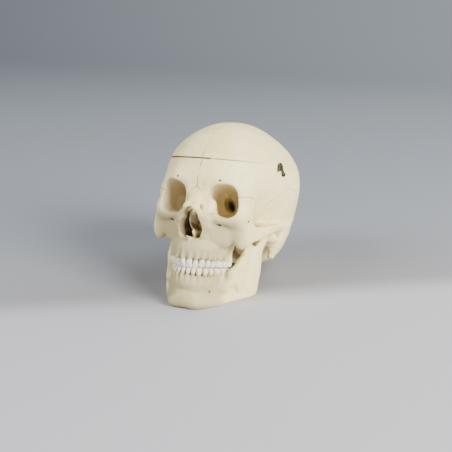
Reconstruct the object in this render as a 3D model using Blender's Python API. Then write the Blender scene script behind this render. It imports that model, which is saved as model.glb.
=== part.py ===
"""A life-size teaching model of a human skull, standing on its jaw and the back of its head.

The forms are laid down in an anatomical frame, in millimetres: x to the skull's left, y to the back
and z up, with the origin midway between the two ear openings and the lower rims of the orbits at the
height z = 0. At the end the skull is leant back by its resting tilt and set on the ground, in metres.
"""

import math
from dataclasses import dataclass
from typing import Callable

import bmesh
import bpy
import numpy as np
import openvdb
from mathutils import Euler, Matrix, Vector

@dataclass
class ToothSize:
    """One kind of tooth: its width along the arch, its depth across it, and the height of its crown.

    neck and edge are the shares of those sizes that are left at the gum and at the biting edge.
    """

    width: float
    depth: float
    height: float
    neck: float
    edge: float


MM = 0.001
CELL = 1.5
EMPTY = 40.0
REACH = 14.0

REST_TILT = math.radians(21.5)
FLOOR = -61.6
MIDDLE = -6.7
LEVEL_WITHIN = 0.25

VAULT_CENTRE = (0, -2, 44)
VAULT_RADII = (71, 88.5, 69.5)
VAULT_SQUARE = 2.15
SKULL_BOX = ((0, -106, -52), (76, 94, 124))
JAW_BOX = ((0, -104, -110), (68, 8, 12))
JAW_GAP = 0.8

UPPER_ARCH = (28.0, 40.0, -51.0)
LOWER_ARCH = (26.5, 36.8, -51.5)
UPPER_TEETH = (
    ToothSize(7.4, 6.6, 9.8, 0.70, 0.30),
    ToothSize(5.8, 5.8, 9.2, 0.68, 0.32),
    ToothSize(6.8, 7.4, 9.6, 0.68, 0.40),
    ToothSize(6.2, 8.4, 8.4, 0.68, 0.72),
    ToothSize(6.0, 8.4, 8.0, 0.70, 0.76),
    ToothSize(9.6, 10.2, 7.6, 0.80, 0.84),
    ToothSize(8.8, 10.0, 7.0, 0.80, 0.84),
    ToothSize(8.0, 9.0, 6.0, 0.82, 0.82),
)
LOWER_TEETH = (
    ToothSize(5.0, 5.8, 9.4, 0.66, 0.30),
    ToothSize(5.4, 6.0, 9.4, 0.66, 0.32),
    ToothSize(6.4, 7.0, 9.8, 0.68, 0.40),
    ToothSize(6.4, 7.4, 8.6, 0.70, 0.70),
    ToothSize(6.6, 7.8, 8.0, 0.70, 0.74),
    ToothSize(10.0, 9.6, 7.2, 0.82, 0.84),
    ToothSize(9.4, 9.4, 6.8, 0.82, 0.84),
    ToothSize(9.0, 9.0, 6.2, 0.82, 0.82),
)
TOOTH_GAP = 0.3
OVERBITE = (1.0, 0.9, 0.1, -0.3, -0.3, -0.3, -0.3, -0.3)
BITE_FRONT = (-91.0, -54.6)
BITE_RISE = 0.12
ROOT = 3.5
RING = 12

CUT_PLACE = (0, -94, 58.6)
CUT_RISE = 0.09
SAW_GAP = 0.4
CAP_PIN = (-24.5, 67.0)
SIDE_PIN = (-18.5, 57.5)
HOOK_LIFT = 1.5
HOOK_CELL = 0.35
PIN_PROFILE = ((0.3, 1.9), (0.5, 1.9), (0.5, 0.9), (2.5, 0.9), (2.5, 2.0), (3.2, 1.7), (3.6, 0.8))
PIN_SIDES = 16

CRANIUM_TRIANGLES = 6600
JAW_TRIANGLES = 2700
HOOK_TRIANGLES = 300
BONE = (0.74, 0.66, 0.51)
BRASS = (0.36, 0.27, 0.12)


# The clay: a signed distance on a grid, negative inside, which Blender's volume library turns to a mesh

@dataclass
class Form:
    """One simple form in the clay: the box that holds it and its distance function."""

    low: np.ndarray
    high: np.ndarray
    distance: Callable


def blend_min(a, b, width):
    """The smaller of two distances, rounded over where they are within width of each other."""
    if width <= 0:
        return np.minimum(a, b)
    near = np.maximum(width - np.abs(a - b), 0) / width
    return np.minimum(a, b) - near * near * width / 4


def ball(centre, radii, turn=(0, 0, 0), square=2.0):
    """An ellipsoid, turned by degrees about x, y and z. A square above 2 fills out its corners."""
    centre, radii = np.array(centre, float), np.array(radii, float)
    axes = np.array(Euler([math.radians(a) for a in turn]).to_matrix())
    reach = np.abs(axes) @ radii

    def distance(x, y, z):
        d = (x - centre[0], y - centre[1], z - centre[2])
        local = [np.abs(sum(axes[row][col] * d[row] for row in range(3))) / radii[col] for col in range(3)]
        whole = sum(a**square for a in local) ** (1 / square)
        whole = np.maximum(whole, 1e-3)
        slope = sum((a ** (square - 1) / r) ** 2 for a, r in zip(local, radii)) ** 0.5 * whole ** (1 - square)
        return (whole - 1) / np.maximum(slope, 1e-4)

    return Form(centre - reach, centre + reach, distance)


def smooth_path(points, steps):
    """Points along the smooth curve through the given rows, whose columns may hold sizes too."""
    rows = np.array(points, float)
    padded = np.vstack([2 * rows[0] - rows[1], rows, 2 * rows[-1] - rows[-2]])
    out = []
    for i in range(len(rows) - 1):
        a, b, c, d = padded[i : i + 4]
        for t in np.arange(steps) / steps:
            square, cube = 2 * a - 5 * b + 4 * c - d, 3 * b - a - 3 * c + d
            out.append(0.5 * (2 * b + (c - a) * t + square * t**2 + cube * t**3))
    return np.array(out + [rows[-1]])


def strap(points, wide, thick, across=(0, 0, 1), steps=3):
    """A strap or rod along a smooth path. Its oval section is wide along across and thick otherwise.

    wide and thick are half sizes, one number or one for each point.
    """
    points = np.array(points, float)
    sizes = [np.broadcast_to(np.array(s, float), len(points)) for s in (wide, thick)]
    path = smooth_path(np.column_stack([points, *sizes]), steps)
    across = np.array(across, float)
    most = path[:, 3:].max()

    def distance(x, y, z):
        best = None
        for a, b in zip(path[:-1], path[1:]):
            run = b[:3] - a[:3]
            length = run @ run
            d = (x - a[0], y - a[1], z - a[2])
            t = np.clip((d[0] * run[0] + d[1] * run[1] + d[2] * run[2]) / length, 0, 1)
            away = [d[i] - t * run[i] for i in range(3)]
            side = across - run * (across @ run) / length
            side = side / np.linalg.norm(side)
            u = away[0] * side[0] + away[1] * side[1] + away[2] * side[2]
            rest = np.maximum(away[0] ** 2 + away[1] ** 2 + away[2] ** 2 - u * u, 0)
            w = a[3] + t * (b[3] - a[3])
            h = a[4] + t * (b[4] - a[4])
            whole = np.sqrt((u / w) ** 2 + rest / h**2)
            slope = np.sqrt((u / w**2) ** 2 + rest / h**4)
            found = np.where(slope > 1e-5, whole / np.maximum(slope, 1e-5), np.minimum(w, h)) * (whole - 1)
            best = found if best is None else np.minimum(best, found)
        return best

    return Form(path[:, :3].min(0) - most, path[:, :3].max(0) + most, distance)


class Clay:
    """The left half of a form, x >= 0, as a signed distance on a grid. The mesh has both halves."""

    def __init__(self, low, high, cell):
        self.cell = cell
        self.low = np.array(low, float)
        counts = np.ceil((np.array(high, float) - self.low) / cell).astype(int) + 1
        self.field = np.full(counts, EMPTY, np.float32)

    def patch(self, low, high, margin):
        """The slices of the grid within margin of a box, and the coordinates there."""
        first = np.floor((np.array(low) - margin - self.low) / self.cell).astype(int)
        last = np.ceil((np.array(high) + margin - self.low) / self.cell).astype(int) + 1
        first = np.clip(first, 0, self.field.shape)
        last = np.clip(last, 0, self.field.shape)
        spots = []
        for axis in range(3):
            steps = self.low[axis] + self.cell * np.arange(first[axis], last[axis])
            spots.append(steps.astype(np.float32).reshape([-1 if k == axis else 1 for k in range(3)]))
        return tuple(slice(a, b) for a, b in zip(first, last)), spots

    def add(self, form, blend=4.0):
        """Lays a form on, its join filled out over blend."""
        where, (x, y, z) = self.patch(form.low, form.high, REACH)
        self.field[where] = blend_min(self.field[where], form.distance(x, y, z), blend)

    def cut(self, form, blend=2.0):
        """Carves a form out, its rim rounded over blend."""
        where, (x, y, z) = self.patch(form.low, form.high, REACH)
        self.field[where] = -blend_min(-self.field[where], form.distance(x, y, z), blend)

    def swell(self, centre, radius, height):
        """Raises the surface near a point by height, or sinks it by a negative height."""
        centre = np.array(centre, float)
        where, (x, y, z) = self.patch(centre, centre, 3 * radius)
        away = (x - centre[0]) ** 2 + (y - centre[1]) ** 2 + (z - centre[2]) ** 2
        self.field[where] -= height * np.exp(-away / radius**2)

    def keep(self, distance):
        """Keeps only what lies inside a distance function of x, y and z."""
        where, (x, y, z) = self.patch(self.low, self.low + self.cell * np.array(self.field.shape), 0)
        self.field[where] = np.maximum(self.field[where], distance(x, y, z))

    def keep_clear(self, other, gap):
        """Takes away what comes within a gap of another clay."""
        away = other.field
        for axis, count in enumerate(self.field.shape):
            spots = (self.low[axis] - other.low[axis] + self.cell * np.arange(count)) / other.cell
            first = np.clip(np.floor(spots).astype(int), 0, other.field.shape[axis] - 2)
            part = np.clip(spots - first, 0, 1).reshape([-1 if k == axis else 1 for k in range(3)])
            away = np.take(away, first, axis) * (1 - part) + np.take(away, first + 1, axis) * part
        self.field = np.maximum(self.field, gap - away).astype(np.float32)

    def side_at(self, y, z):
        """The outermost point of the surface at a y and z, and the normal there."""

        def outermost(y, z):
            j, k = (y - self.low[1]) / self.cell, (z - self.low[2]) / self.cell
            row, column = int(j), int(k)
            u, v = j - row, k - column
            near = self.field[:, row : row + 2, column : column + 2]
            line = near @ np.array([1 - v, v]) @ np.array([1 - u, u])
            last = np.nonzero(line < 0)[0][-1]
            part = line[last] / (line[last] - line[last + 1])
            return self.low[0] + self.cell * (last + part)

        x = outermost(y, z)
        slope = outermost(y - 1, z) - outermost(y + 1, z), outermost(y, z - 1) - outermost(y, z + 1)
        normal = Vector((2, *slope))
        return Vector((x, y, z)), normal.normalized()

    def mesh(self, name, mirrored=True):
        """A closed mesh of both halves, still in millimetres."""
        band = 3 * self.cell
        whole = np.concatenate([self.field[:0:-1], self.field]) if mirrored else self.field
        grid = openvdb.FloatGrid(band)
        grid.copyFromArray(np.clip(whole, -band, band))
        points, _, quads = grid.convertToPolygons(isovalue=0.0, adaptivity=0.0)
        start = self.low - [self.cell * (self.field.shape[0] - 1) if mirrored else 0, 0, 0]
        points = points * self.cell + start
        return shell_mesh(name, points, largest_shell(points, quads.astype(np.int64)))


def largest_shell(points, quads):
    """The quads of the largest connected surface, facing out."""
    label = np.arange(len(points))
    while True:
        least = label[quads].min(axis=1)
        new = label.copy()
        np.minimum.at(new, quads.ravel(), np.repeat(least, 4))
        new = new[new]
        if (new == label).all():
            break
        label = new
    names, counts = np.unique(label[quads[:, 0]], return_counts=True)
    quads = quads[label[quads[:, 0]] == names[counts.argmax()]]
    a, b, c, d = (points[quads[:, i]] for i in range(4))
    volume = (np.cross(b - a, c - a) * a).sum() + (np.cross(c - a, d - a) * a).sum()
    return quads if volume > 0 else quads[:, ::-1]


def shell_mesh(name, points, quads):
    """A mesh of those quads, with the points that none of them uses left out."""
    used, quads = np.unique(quads, return_inverse=True)
    mesh = bpy.data.meshes.new(name)
    mesh.vertices.add(len(used))
    mesh.vertices.foreach_set("co", points[used].astype(np.float32).ravel())
    count = quads.size // 4
    mesh.loops.add(quads.size)
    mesh.loops.foreach_set("vertex_index", quads.ravel().astype(np.int32))
    mesh.polygons.add(count)
    mesh.polygons.foreach_set("loop_start", np.arange(count, dtype=np.int32) * 4)
    mesh.update(calc_edges=True)
    mesh.validate()
    return mesh


# The braincase

def vault():
    """The egg of the braincase: narrower at the forehead, and flatter below in front than behind."""
    centre, radii, square = np.array(VAULT_CENTRE, float), VAULT_RADII, VAULT_SQUARE

    def distance(x, y, z):
        narrow = 0.965 + 0.06 * np.tanh(y / 30)
        above = radii[2] + 4 * np.tanh(y / 40)
        depth = np.where(z > centre[2], above, 68 + 12 * np.tanh((y - 15) / 20))
        sides = (radii[0] * narrow, radii[1], depth)
        local = [np.abs(x) / sides[0], np.abs(y - centre[1]) / sides[1], np.abs(z - centre[2]) / sides[2]]
        whole = np.maximum(sum(a**square for a in local) ** (1 / square), 1e-3)
        slope = sum((a ** (square - 1) / r) ** 2 for a, r in zip(local, sides)) ** 0.5 * whole ** (1 - square)
        return (whole - 1) / np.maximum(slope, 1e-4)

    reach = np.array([74, 90, 85])
    return Form(centre - reach, centre + reach, distance)


def braincase(clay):
    """The vault, the back of the head and the underside behind the palate."""
    clay.add(vault(), 0)
    clay.add(ball((0, 47, 14), (54, 41, 42)), 22)
    clay.add(ball((0, 47, -12), (47, 34, 31)), 16)
    clay.add(ball((47, 12, 4), (15, 30, 22)), 12)
    clay.swell((40, -74, 58), 24, 3.0)
    clay.swell((40, 22, 104), 34, -4.4)
    clay.swell((58, 56, 16), 28, -2.8)
    clay.swell((34, -42, 94), 22, -1.3)
    clay.swell((0, 79, -12), 11, 2.5)
    clay.add(strap([(0, 77, -12), (22, 73, -9), (42, 59, -4), (54, 40, 1)], 2.0, 2.0), 8)


def skull_base(clay):
    """The sphenoid body, the clivus, the petrous bones, condyles and the great opening."""
    clay.add(ball((0, -38, 4), (18, 26, 18)), 10)
    clay.add(strap([(0, -34, -6), (0, -16, -13), (0, -3, -19)], [13, 12, 12], [7, 6, 5], (1, 0, 0)), 6)
    clay.add(strap([(50, 6, -9), (36, -2, -12), (21, -12, -14)], 8, 8), 6)
    clay.add(ball((20, 8, -27), (6, 11.5, 6.5), (0, 0, -28)), 5)
    clay.cut(ball((0, 16, -28), (15, 18, 34), square=2.4), 3)


def temporal_fossa(clay):
    """The hollow of the temple, behind the orbit and under the cheek arch."""
    clay.cut(ball((69, -41, -4), (19.5, 24, 38), (0, 0, -12)), 15)
    clay.cut(ball((44, -34, -32), (28, 19, 26)), 8)


def ear_region(clay):
    """The mastoid process, ear opening, jaw socket and the roots of the cheek arch."""
    clay.add(strap([(55, 17, 2), (54.5, 15, -12), (52, 12, -29)], [14, 12, 5], [9, 8, 4], (0, 1, 0)), 8)
    clay.add(strap([(60, -8, 2), (62, 6, 4.5), (62, 22, 9), (58, 38, 16)], 2.6, 2.2), 6)
    clay.add(ball((53, -1, -10), (9, 5.5, 6)), 3)
    clay.add(ball((53, -25, -2), (11, 5, 5.5), (0, 0, -15)), 5)
    clay.cut(ball((51, -13, -4), (12, 7.5, 7), (0, 0, -18)), 2)
    clay.cut(ball((58, 1.5, -5), (16, 4.0, 5.2)), 1.5)
    clay.cut(strap([(46, 28, -22), (45, 8, -26)], 3.0, 3.0), 4)
    clay.add(strap([(42, 1, -14), (40, -5, -26), (38, -9, -36)], [2.6, 2.0, 1.1], [2.6, 2.0, 1.1]), 3)


def brow_and_orbit_rims(clay):
    """The brow, the rims of the orbits and the bone between them."""
    clay.add(ball((0, -68, 20), (19, 20, 30), square=2.5), 8)
    clay.add(ball((28, -64, 17), (23, 20, 25), (0, 0, 18), 2.5), 8)
    clay.add(strap([(3, -86, 37), (14, -86.5, 39), (26, -84.5, 41), (36, -79, 41)], [5, 5, 5, 4], 3.5), 10)
    inner_rim = [(9, -85, 27), (13.5, -86, 33.5), (25, -85.5, 36.5)]
    outer_rim = [(35.5, -81.5, 35.5), (43, -76, 30), (46.5, -71, 23)]
    clay.add(strap(inner_rim + outer_rim, 3.4, 4.0), 7)
    process = [(46.5, -68, 26), (47.7, -66, 16), (48.5, -66.5, 4), (48.5, -68, -5)]
    clay.add(strap(process, [8, 10.5, 10.5, 9], 3.2, (0.48, 0.88, 0)), 6)
    clay.add(strap([(47.5, -66, 30), (47, -63, 40), (48, -58, 50)], [2.6, 2.4, 1.0], [2.4, 2.2, 1.0]), 10)


def mid_face(clay):
    """The cheekbones, the upper jaw, the bridge of the nose and the palate."""
    clay.add(ball((21, -68, -12), (19, 16, 20), (0, 0, 24), 2.6), 8)
    clay.add(ball((46, -65, -10), (12, 7.5, 12.5), (0, 0, 34)), 7)
    clay.add(strap([(18, -84, 2), (26, -83, -2.5), (35, -80.5, -3.5), (43, -76, 0), (48, -71, 7)], 3.8, 4), 9)
    clay.add(ball((48, -64, -20), (8.5, 5.5, 9.2), (0, 14, 30)), 5)
    crest = [(45, -63, -19), (36.5, -61.5, -18.5), (29.5, -60.5, -24), (27.5, -60, -34)]
    clay.add(strap(crest, [5.5, 4.6, 4.2, 4.2], [4, 3.6, 3.6, 4]), 3)
    arch = [(51, -64, -12), (58, -56.5, -11.5), (63, -45, -7), (66, -31, -2.4), (65, -16, 0), (61, -3, 1.5)]
    clay.add(strap(arch, [9.5, 7.5, 5.4, 4.4, 4.2, 4.2], [3.6, 2.8, 2.5, 2.4, 2.8, 3.5]), 5)
    beside_nose = [(9, -84, 26), (11, -86, 12), (13, -87.5, 0), (16.5, -86, -12)]
    clay.add(strap(beside_nose, [5, 5.5, 6, 6], 4, (1, -1, 0)), 6)
    upper_wall = [(4.5, -97, 6), (8.5, -94, 1), (12.5, -90.5, -7)]
    lower_wall = [(12.5, -90.5, -7), (14.5, -88.5, -14), (14, -87, -22)]
    for wall in (upper_wall, lower_wall):
        clay.add(strap(wall, 3.5, 2.2, (1, 1, 0)), 5)
    nose_bones = [(0, -84, 29), (0, -88, 21), (0, -93, 13), (0, -98.3, 6.5)]
    clay.add(strap(nose_bones, [6.5, 6.5, 7, 7.5], [5, 4, 3.4, 2.4], (1, 0, 0)), 6)
    clay.add(ball((24, -53, -23), (10.5, 10, 10.5), (0, 0, 10)), 5)
    outer_plate = [(22, -50, -16), (24, -40, -22), (24.5, -36, -31)]
    inner_plate = [(13, -44, -16), (13, -38, -24), (13, -36, -31)]
    clay.add(strap(outer_plate, [8, 7, 4], [2.4, 2, 1.6], (0.4, 1, 0)), 3)
    clay.add(strap(inner_plate, [6, 5, 3], [1.8, 1.6, 1.3], (0, 1, 0)), 2)
    clay.add(ball((0, -66, -34), (25, 26, 6), square=2.5), 5)
    rows = arch_points(UPPER_ARCH, [0, 8, 16, 25, 35, 50], [-35.4, -35.2, -34.8, -34, -33.2, -32])
    clay.add(strap(rows, [10.5, 10.5, 10.5, 10.5, 10, 9], [4.6, 4.8, 5, 5.4, 5, 4.6]), 5)
    clay.add(strap([(0, -86, -27), (0, -92, -25.5), (0, -96.5, -24)], [2.6, 1.8, 0.8], [2.6, 1.8, 0.8]), 4)
    clay.swell((28, -81, -18), 11, -1.8)


def orbits(clay):
    """The orbits, as cones that narrow back towards the midline, with their fissures."""
    clay.cut(ball((20.5, -89, 13.5), (7, 12, 11), (0, 20, 0)), 8)
    clay.cut(ball((28.2, -83, 16.4), (15.8, 46, 17.4), (0, -13, 15), 2.8), 2.2)
    floor = [(10.5, -70, 13), (13.5, -71, 3), (19.5, -72, -2.5), (27, -71, -5.5)]
    clay.add(strap(floor, 4.6, 4.6), 7)
    clay.cut(strap([(16, -44, 14), (22, -43, 17), (28, -46, 22)], [2.0, 2.2, 1.6], [4, 5, 4]), 1)
    clay.cut(strap([(17, -46, 7), (25, -52, 2), (33, -61, -1)], 1.7, 1.7), 1)


def nose(clay):
    """The pear-shaped opening of the nose, its chamber and the septum."""
    clay.cut(ball((5.5, -86, -14.5), (6, 26, 9.4)), 1.2)
    clay.cut(ball((0, -92, -4), (7.4, 24, 9)), 1.2)
    clay.cut(ball((0, -94, 0), (3.6, 22, 6.2)), 1.2)
    clay.cut(ball((8, -62, -9), (6.5, 21, 15), square=2.4), 2)
    clay.cut(ball((7.5, -42, -19), (5, 12, 9.5)), 2)
    clay.add(strap([(11.5, -80, -17), (11, -66, -16), (11, -54, -16)], [3.2, 4, 3], [1.5, 1.8, 1.5]), 1.5)
    clay.add(ball((0, -66, -8), (1.4, 21, 20), square=3), 1.5)


def skull_clay():
    """The whole skull without the jaw."""
    clay = Clay(*SKULL_BOX, CELL)
    braincase(clay)
    skull_base(clay)
    temporal_fossa(clay)
    ear_region(clay)
    brow_and_orbit_rims(clay)
    mid_face(clay)
    orbits(clay)
    nose(clay)
    clay.keep(above_floor)
    return clay


def above_floor(x, y, z):
    """The distance below the ground that the leant skull stands on, positive under it."""
    return FLOOR - (z * math.cos(REST_TILT) - y * math.sin(REST_TILT)) + 0 * x


# The teeth stand on two arches, each half an ellipse in front that runs on straight behind

def arch_place(arch, along):
    """Where the arch is, and the way it faces, at a distance along it from the middle."""
    half_width, depth, back = arch
    turns = np.linspace(0, math.pi / 2, 200)
    x, y = half_width * np.sin(turns), back - depth * np.cos(turns)
    run = np.concatenate([[0], np.cumsum(np.hypot(np.diff(x), np.diff(y)))])
    if along <= run[-1]:
        turn = np.interp(along, run, turns)
        spot = (half_width * math.sin(turn), back - depth * math.cos(turn))
        facing = (math.sin(turn) / half_width, -math.cos(turn) / depth)
    else:
        spot = (half_width - 0.12 * (along - run[-1]), back + (along - run[-1]))
        facing = (1.0, 0.1)
    size = math.hypot(*facing)
    return spot, (facing[0] / size, facing[1] / size)


def arch_points(arch, runs, heights):
    """Points on the arch at those distances from the middle, at those heights."""
    return [(*arch_place(arch, run)[0], height) for run, height in zip(runs, heights)]


# The jaw

def jaw_clay(skull):
    """The lower jaw: body, chin, rami with their two processes and the condyles, clear of the skull."""
    clay = Clay(*JAW_BOX, CELL)
    front_body = [(0, -80, -80), (9, -79, -80.5), (16, -74, -80.5), (24.5, -62, -79)]
    rear_body = [(33, -47, -76), (40, -33.5, -72), (45, -24, -67)]
    body_sizes = [14, 14, 14, 14, 14, 14, 15], [5.5, 5.5, 5.2, 5, 5, 5, 4]
    clay.add(strap(front_body + rear_body, *body_sizes), 0)
    front_base = [(0, -80.5, -91), (10, -79.5, -92), (18, -74.5, -91), (26.5, -62.5, -88.5)]
    rear_base = [(35.5, -46, -83.5), (43.5, -31, -77), (48.5, -20, -70.5)]
    base_sizes = [4, 4, 4, 4, 4, 4, 4.5], [5.5, 5.5, 5, 4.6, 4.2, 3.6, 3]
    clay.add(strap(front_base + rear_base, *base_sizes), 8)
    clay.add(ball((0, -82, -87), (10, 5, 7)), 6)
    clay.add(ball((12, -80.5, -91), (6, 4.5, 4.5)), 5)
    rows = arch_points(LOWER_ARCH, [0, 8, 16, 25, 35, 48], [-70, -70, -69.5, -68.5, -67, -65])
    clay.add(strap(rows, [7, 7, 7, 7, 7.5, 8], [4.4, 4.6, 4.8, 5.2, 6, 6]), 5)
    front = [(39, -38, -68), (40, -37, -48), (41.8, -36.5, -28), (44, -38, -12), (45.5, -41.5, -2)]
    clay.add(strap(front, [9, 9, 9, 7.2, 2.6], [4.2, 3.2, 2.8, 2.3, 1.8], (-0.2, 1, 0)), 4)
    rear = [(48.5, -23.5, -67), (49, -20, -48), (50, -17.5, -28), (51.5, -14, -12), (52, -12.5, -6)]
    clay.add(strap(rear, [9.5, 9, 8, 4.4, 4], [3.4, 3.2, 3.2, 4, 4], (0, 1, 0)), 4)
    clay.add(ball((45.5, -28, -50), (3.2, 16, 26), (0, 0, -22)), 6)
    clay.add(ball((51.5, -12.5, -4.6), (9.8, 4.6, 4.4), (0, 0, -18)), 3)
    clay.add(strap([(40, -43, -44), (36.5, -48, -60), (31.5, -56, -72)], [2.4, 3.4, 2.4], [2.4, 3, 2.4]), 8)
    clay.add(strap([(40, -38, -32), (38, -43.5, -38), (36.5, -49.5, -45.5), (34, -55, -53)], 2.4, 2.2), 5)
    clay.add(ball((34.5, -47, -58), (4.6, 10, 8), (0, 0, 12)), 7)
    clay.cut(ball((26.6, -73.5, -77.7), (1.8, 6, 1.8)), 0.6)
    clay.keep_clear(skull, JAW_GAP)
    clay.keep(above_floor)
    return clay


# Teeth: each is lofted from its root, sunk in the jaw, to its crown

def bite_height(y):
    """The height where upper and lower teeth meet, which rises towards the back."""
    front, height = BITE_FRONT
    return height + BITE_RISE * (y - front)


def tooth_rings(tooth):
    """The sections of a crown from the sunk root to the biting edge: height, half width, half depth."""
    half_width, half_depth = (tooth.width - TOOTH_GAP) / 2, tooth.depth / 2
    return (
        (-ROOT, tooth.neck * half_width * 0.85, tooth.neck * half_depth * 0.9),
        (0.0, tooth.neck * half_width, 0.84 * half_depth),
        (0.35 * tooth.height, 0.86 * half_width, half_depth),
        (0.72 * tooth.height, half_width, (0.45 + 0.55 * tooth.edge) * half_depth),
        (0.95 * tooth.height, 0.97 * half_width, tooth.edge * half_depth),
        (tooth.height, 0.86 * half_width, 0.7 * tooth.edge * half_depth),
    )


def tooth_mesh(name, tooth, spot, facing, tip, way):
    """A tooth at a spot on the arch. Its tip is at the height tip, and way is -1 for an upper tooth."""
    across = (-facing[1], facing[0])
    bm = bmesh.new()
    loops = []
    for height, half_width, half_depth in tooth_rings(tooth):
        loop = []
        for k in range(RING):
            turn = 2 * math.pi * k / RING
            u, v = math.cos(turn), math.sin(turn)
            u, v = math.copysign(abs(u) ** 0.8, u) * half_width, math.copysign(abs(v) ** 0.8, v) * half_depth
            x = spot[0] + u * across[0] + v * facing[0]
            y = spot[1] + u * across[1] + v * facing[1]
            loop.append(bm.verts.new((x, y, tip - way * (tooth.height - height))))
        loops.append(loop)
    for lower, upper in zip(loops, loops[1:]):
        for k in range(RING):
            bm.faces.new((lower[k], lower[(k + 1) % RING], upper[(k + 1) % RING], upper[k]))
    bm.faces.new(loops[0][::-1])
    bm.faces.new(loops[-1])
    bmesh.ops.recalc_face_normals(bm, faces=bm.faces)
    mesh = bpy.data.meshes.new(name)
    bm.to_mesh(mesh)
    bm.free()
    return mesh


def tooth_row(name, arch, teeth, way):
    """The meshes of a whole row, both sides, still in millimetres."""
    meshes = []
    run = 0.0
    for number, (tooth, overbite) in enumerate(zip(teeth, OVERBITE)):
        spot, facing = arch_place(arch, run + tooth.width / 2)
        run += tooth.width
        tip = bite_height(spot[1]) + way * overbite
        for side in (1, -1):
            place = (side * spot[0], spot[1])
            turned = (side * facing[0], facing[1])
            meshes.append(tooth_mesh(f"{name}_{number}_{side}", tooth, place, turned, tip, way))
    return meshes


# The skull cap is sawn off and held by a small brass hook at each temple

def cut_plane(gap):
    """A point on the saw cut and its upward normal, in millimetres, lowered by a gap."""
    normal = Vector((0, -CUT_RISE, 1)).normalized()
    return Vector(CUT_PLACE) - Vector((0, 0, gap)), normal


def to_ground():
    """Takes anatomical millimetres to metres on the ground, leant back by the resting tilt."""
    lean = Matrix.Rotation(-REST_TILT, 4, "X")
    return Matrix.Scale(MM, 4) @ Matrix.Translation((0, -MIDDLE, -FLOOR)) @ lean


def kept_island(bm):
    """Leaves only the largest connected piece of a mesh."""
    seen = set()
    pieces = []
    for start in bm.verts:
        if start in seen:
            continue
        seen.add(start)
        piece, rim = [start], [start]
        while rim:
            for edge in rim.pop().link_edges:
                for vert in edge.verts:
                    if vert not in seen:
                        seen.add(vert)
                        piece.append(vert)
                        rim.append(vert)
        pieces.append(piece)
    pieces.sort(key=len)
    for piece in pieces[:-1]:
        bmesh.ops.delete(bm, geom=piece, context="VERTS")


def sawn(mesh, plane, above):
    """Keeps the part of a mesh above or below a plane, with the cut closed."""
    bm = bmesh.new()
    bm.from_mesh(mesh)
    point, normal = plane
    parts = bm.verts[:] + bm.edges[:] + bm.faces[:]
    bmesh.ops.bisect_plane(
        bm, geom=parts, dist=1e-4, plane_co=point, plane_no=normal, clear_inner=above, clear_outer=not above
    )
    open_edges = [edge for edge in bm.edges if edge.is_boundary]
    bmesh.ops.triangle_fill(bm, edges=open_edges, use_beauty=True, use_dissolve=False)
    bmesh.ops.recalc_face_normals(bm, faces=bm.faces)
    kept_island(bm)
    bm.to_mesh(mesh)
    bm.free()


def settled(obj, helper_meshes, helpers, triangles):
    """Thins an object out and joins the helper meshes to it, so that it is one closed body."""
    thin = obj.modifiers.new("thin_out", "DECIMATE")
    thin.ratio = min(1.0, triangles / (2 * len(obj.data.polygons)))
    if helper_meshes:
        for mesh in helper_meshes:
            tooth = bpy.data.objects.new(mesh.name, mesh)
            helpers.objects.link(tooth)
            tooth.hide_render = True
            tooth.display_type = "WIRE"
        join = obj.modifiers.new("join_teeth", "BOOLEAN")
        join.operation = "UNION"
        join.solver = "EXACT"
        join.operand_type = "COLLECTION"
        join.collection = helpers
    bpy.context.view_layer.update()
    made = bpy.data.meshes.new_from_object(obj.evaluated_get(bpy.context.evaluated_depsgraph_get()))
    obj.modifiers.clear()
    obj.data = made
    for tooth in list(helpers.objects):
        bpy.data.objects.remove(tooth)
    bm = bmesh.new()
    bm.from_mesh(made)
    bmesh.ops.triangulate(bm, faces=bm.faces)
    bmesh.ops.dissolve_degenerate(bm, dist=1e-3, edges=bm.edges)
    bmesh.ops.triangulate(bm, faces=bm.faces)
    kept_island(bm)
    bm.to_mesh(made)
    bm.free()


def on_ground(mesh):
    """Sets a finished mesh on the ground, with every point within a hair of it made level."""
    mesh.transform(to_ground())
    for vertex in mesh.vertices:
        if vertex.co.z < LEVEL_WITHIN * MM:
            vertex.co.z = 0


def new_object(name, mesh, collection):
    """An object of that mesh, in the collection."""
    obj = bpy.data.objects.new(name, mesh)
    collection.objects.link(obj)
    return obj


def disc(centre, radius, half_thickness, out):
    """A flat round plate that faces out."""
    centre, out = np.array(centre), np.array(out)

    def distance(x, y, z):
        d = (x - centre[0], y - centre[1], z - centre[2])
        along = d[0] * out[0] + d[1] * out[1] + d[2] * out[2]
        away = np.sqrt(np.maximum(d[0] ** 2 + d[1] ** 2 + d[2] ** 2 - along**2, 0))
        return np.maximum(away - radius, np.abs(along) - half_thickness)

    reach = radius + half_thickness
    return Form(centre - reach, centre + reach, distance)


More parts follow.
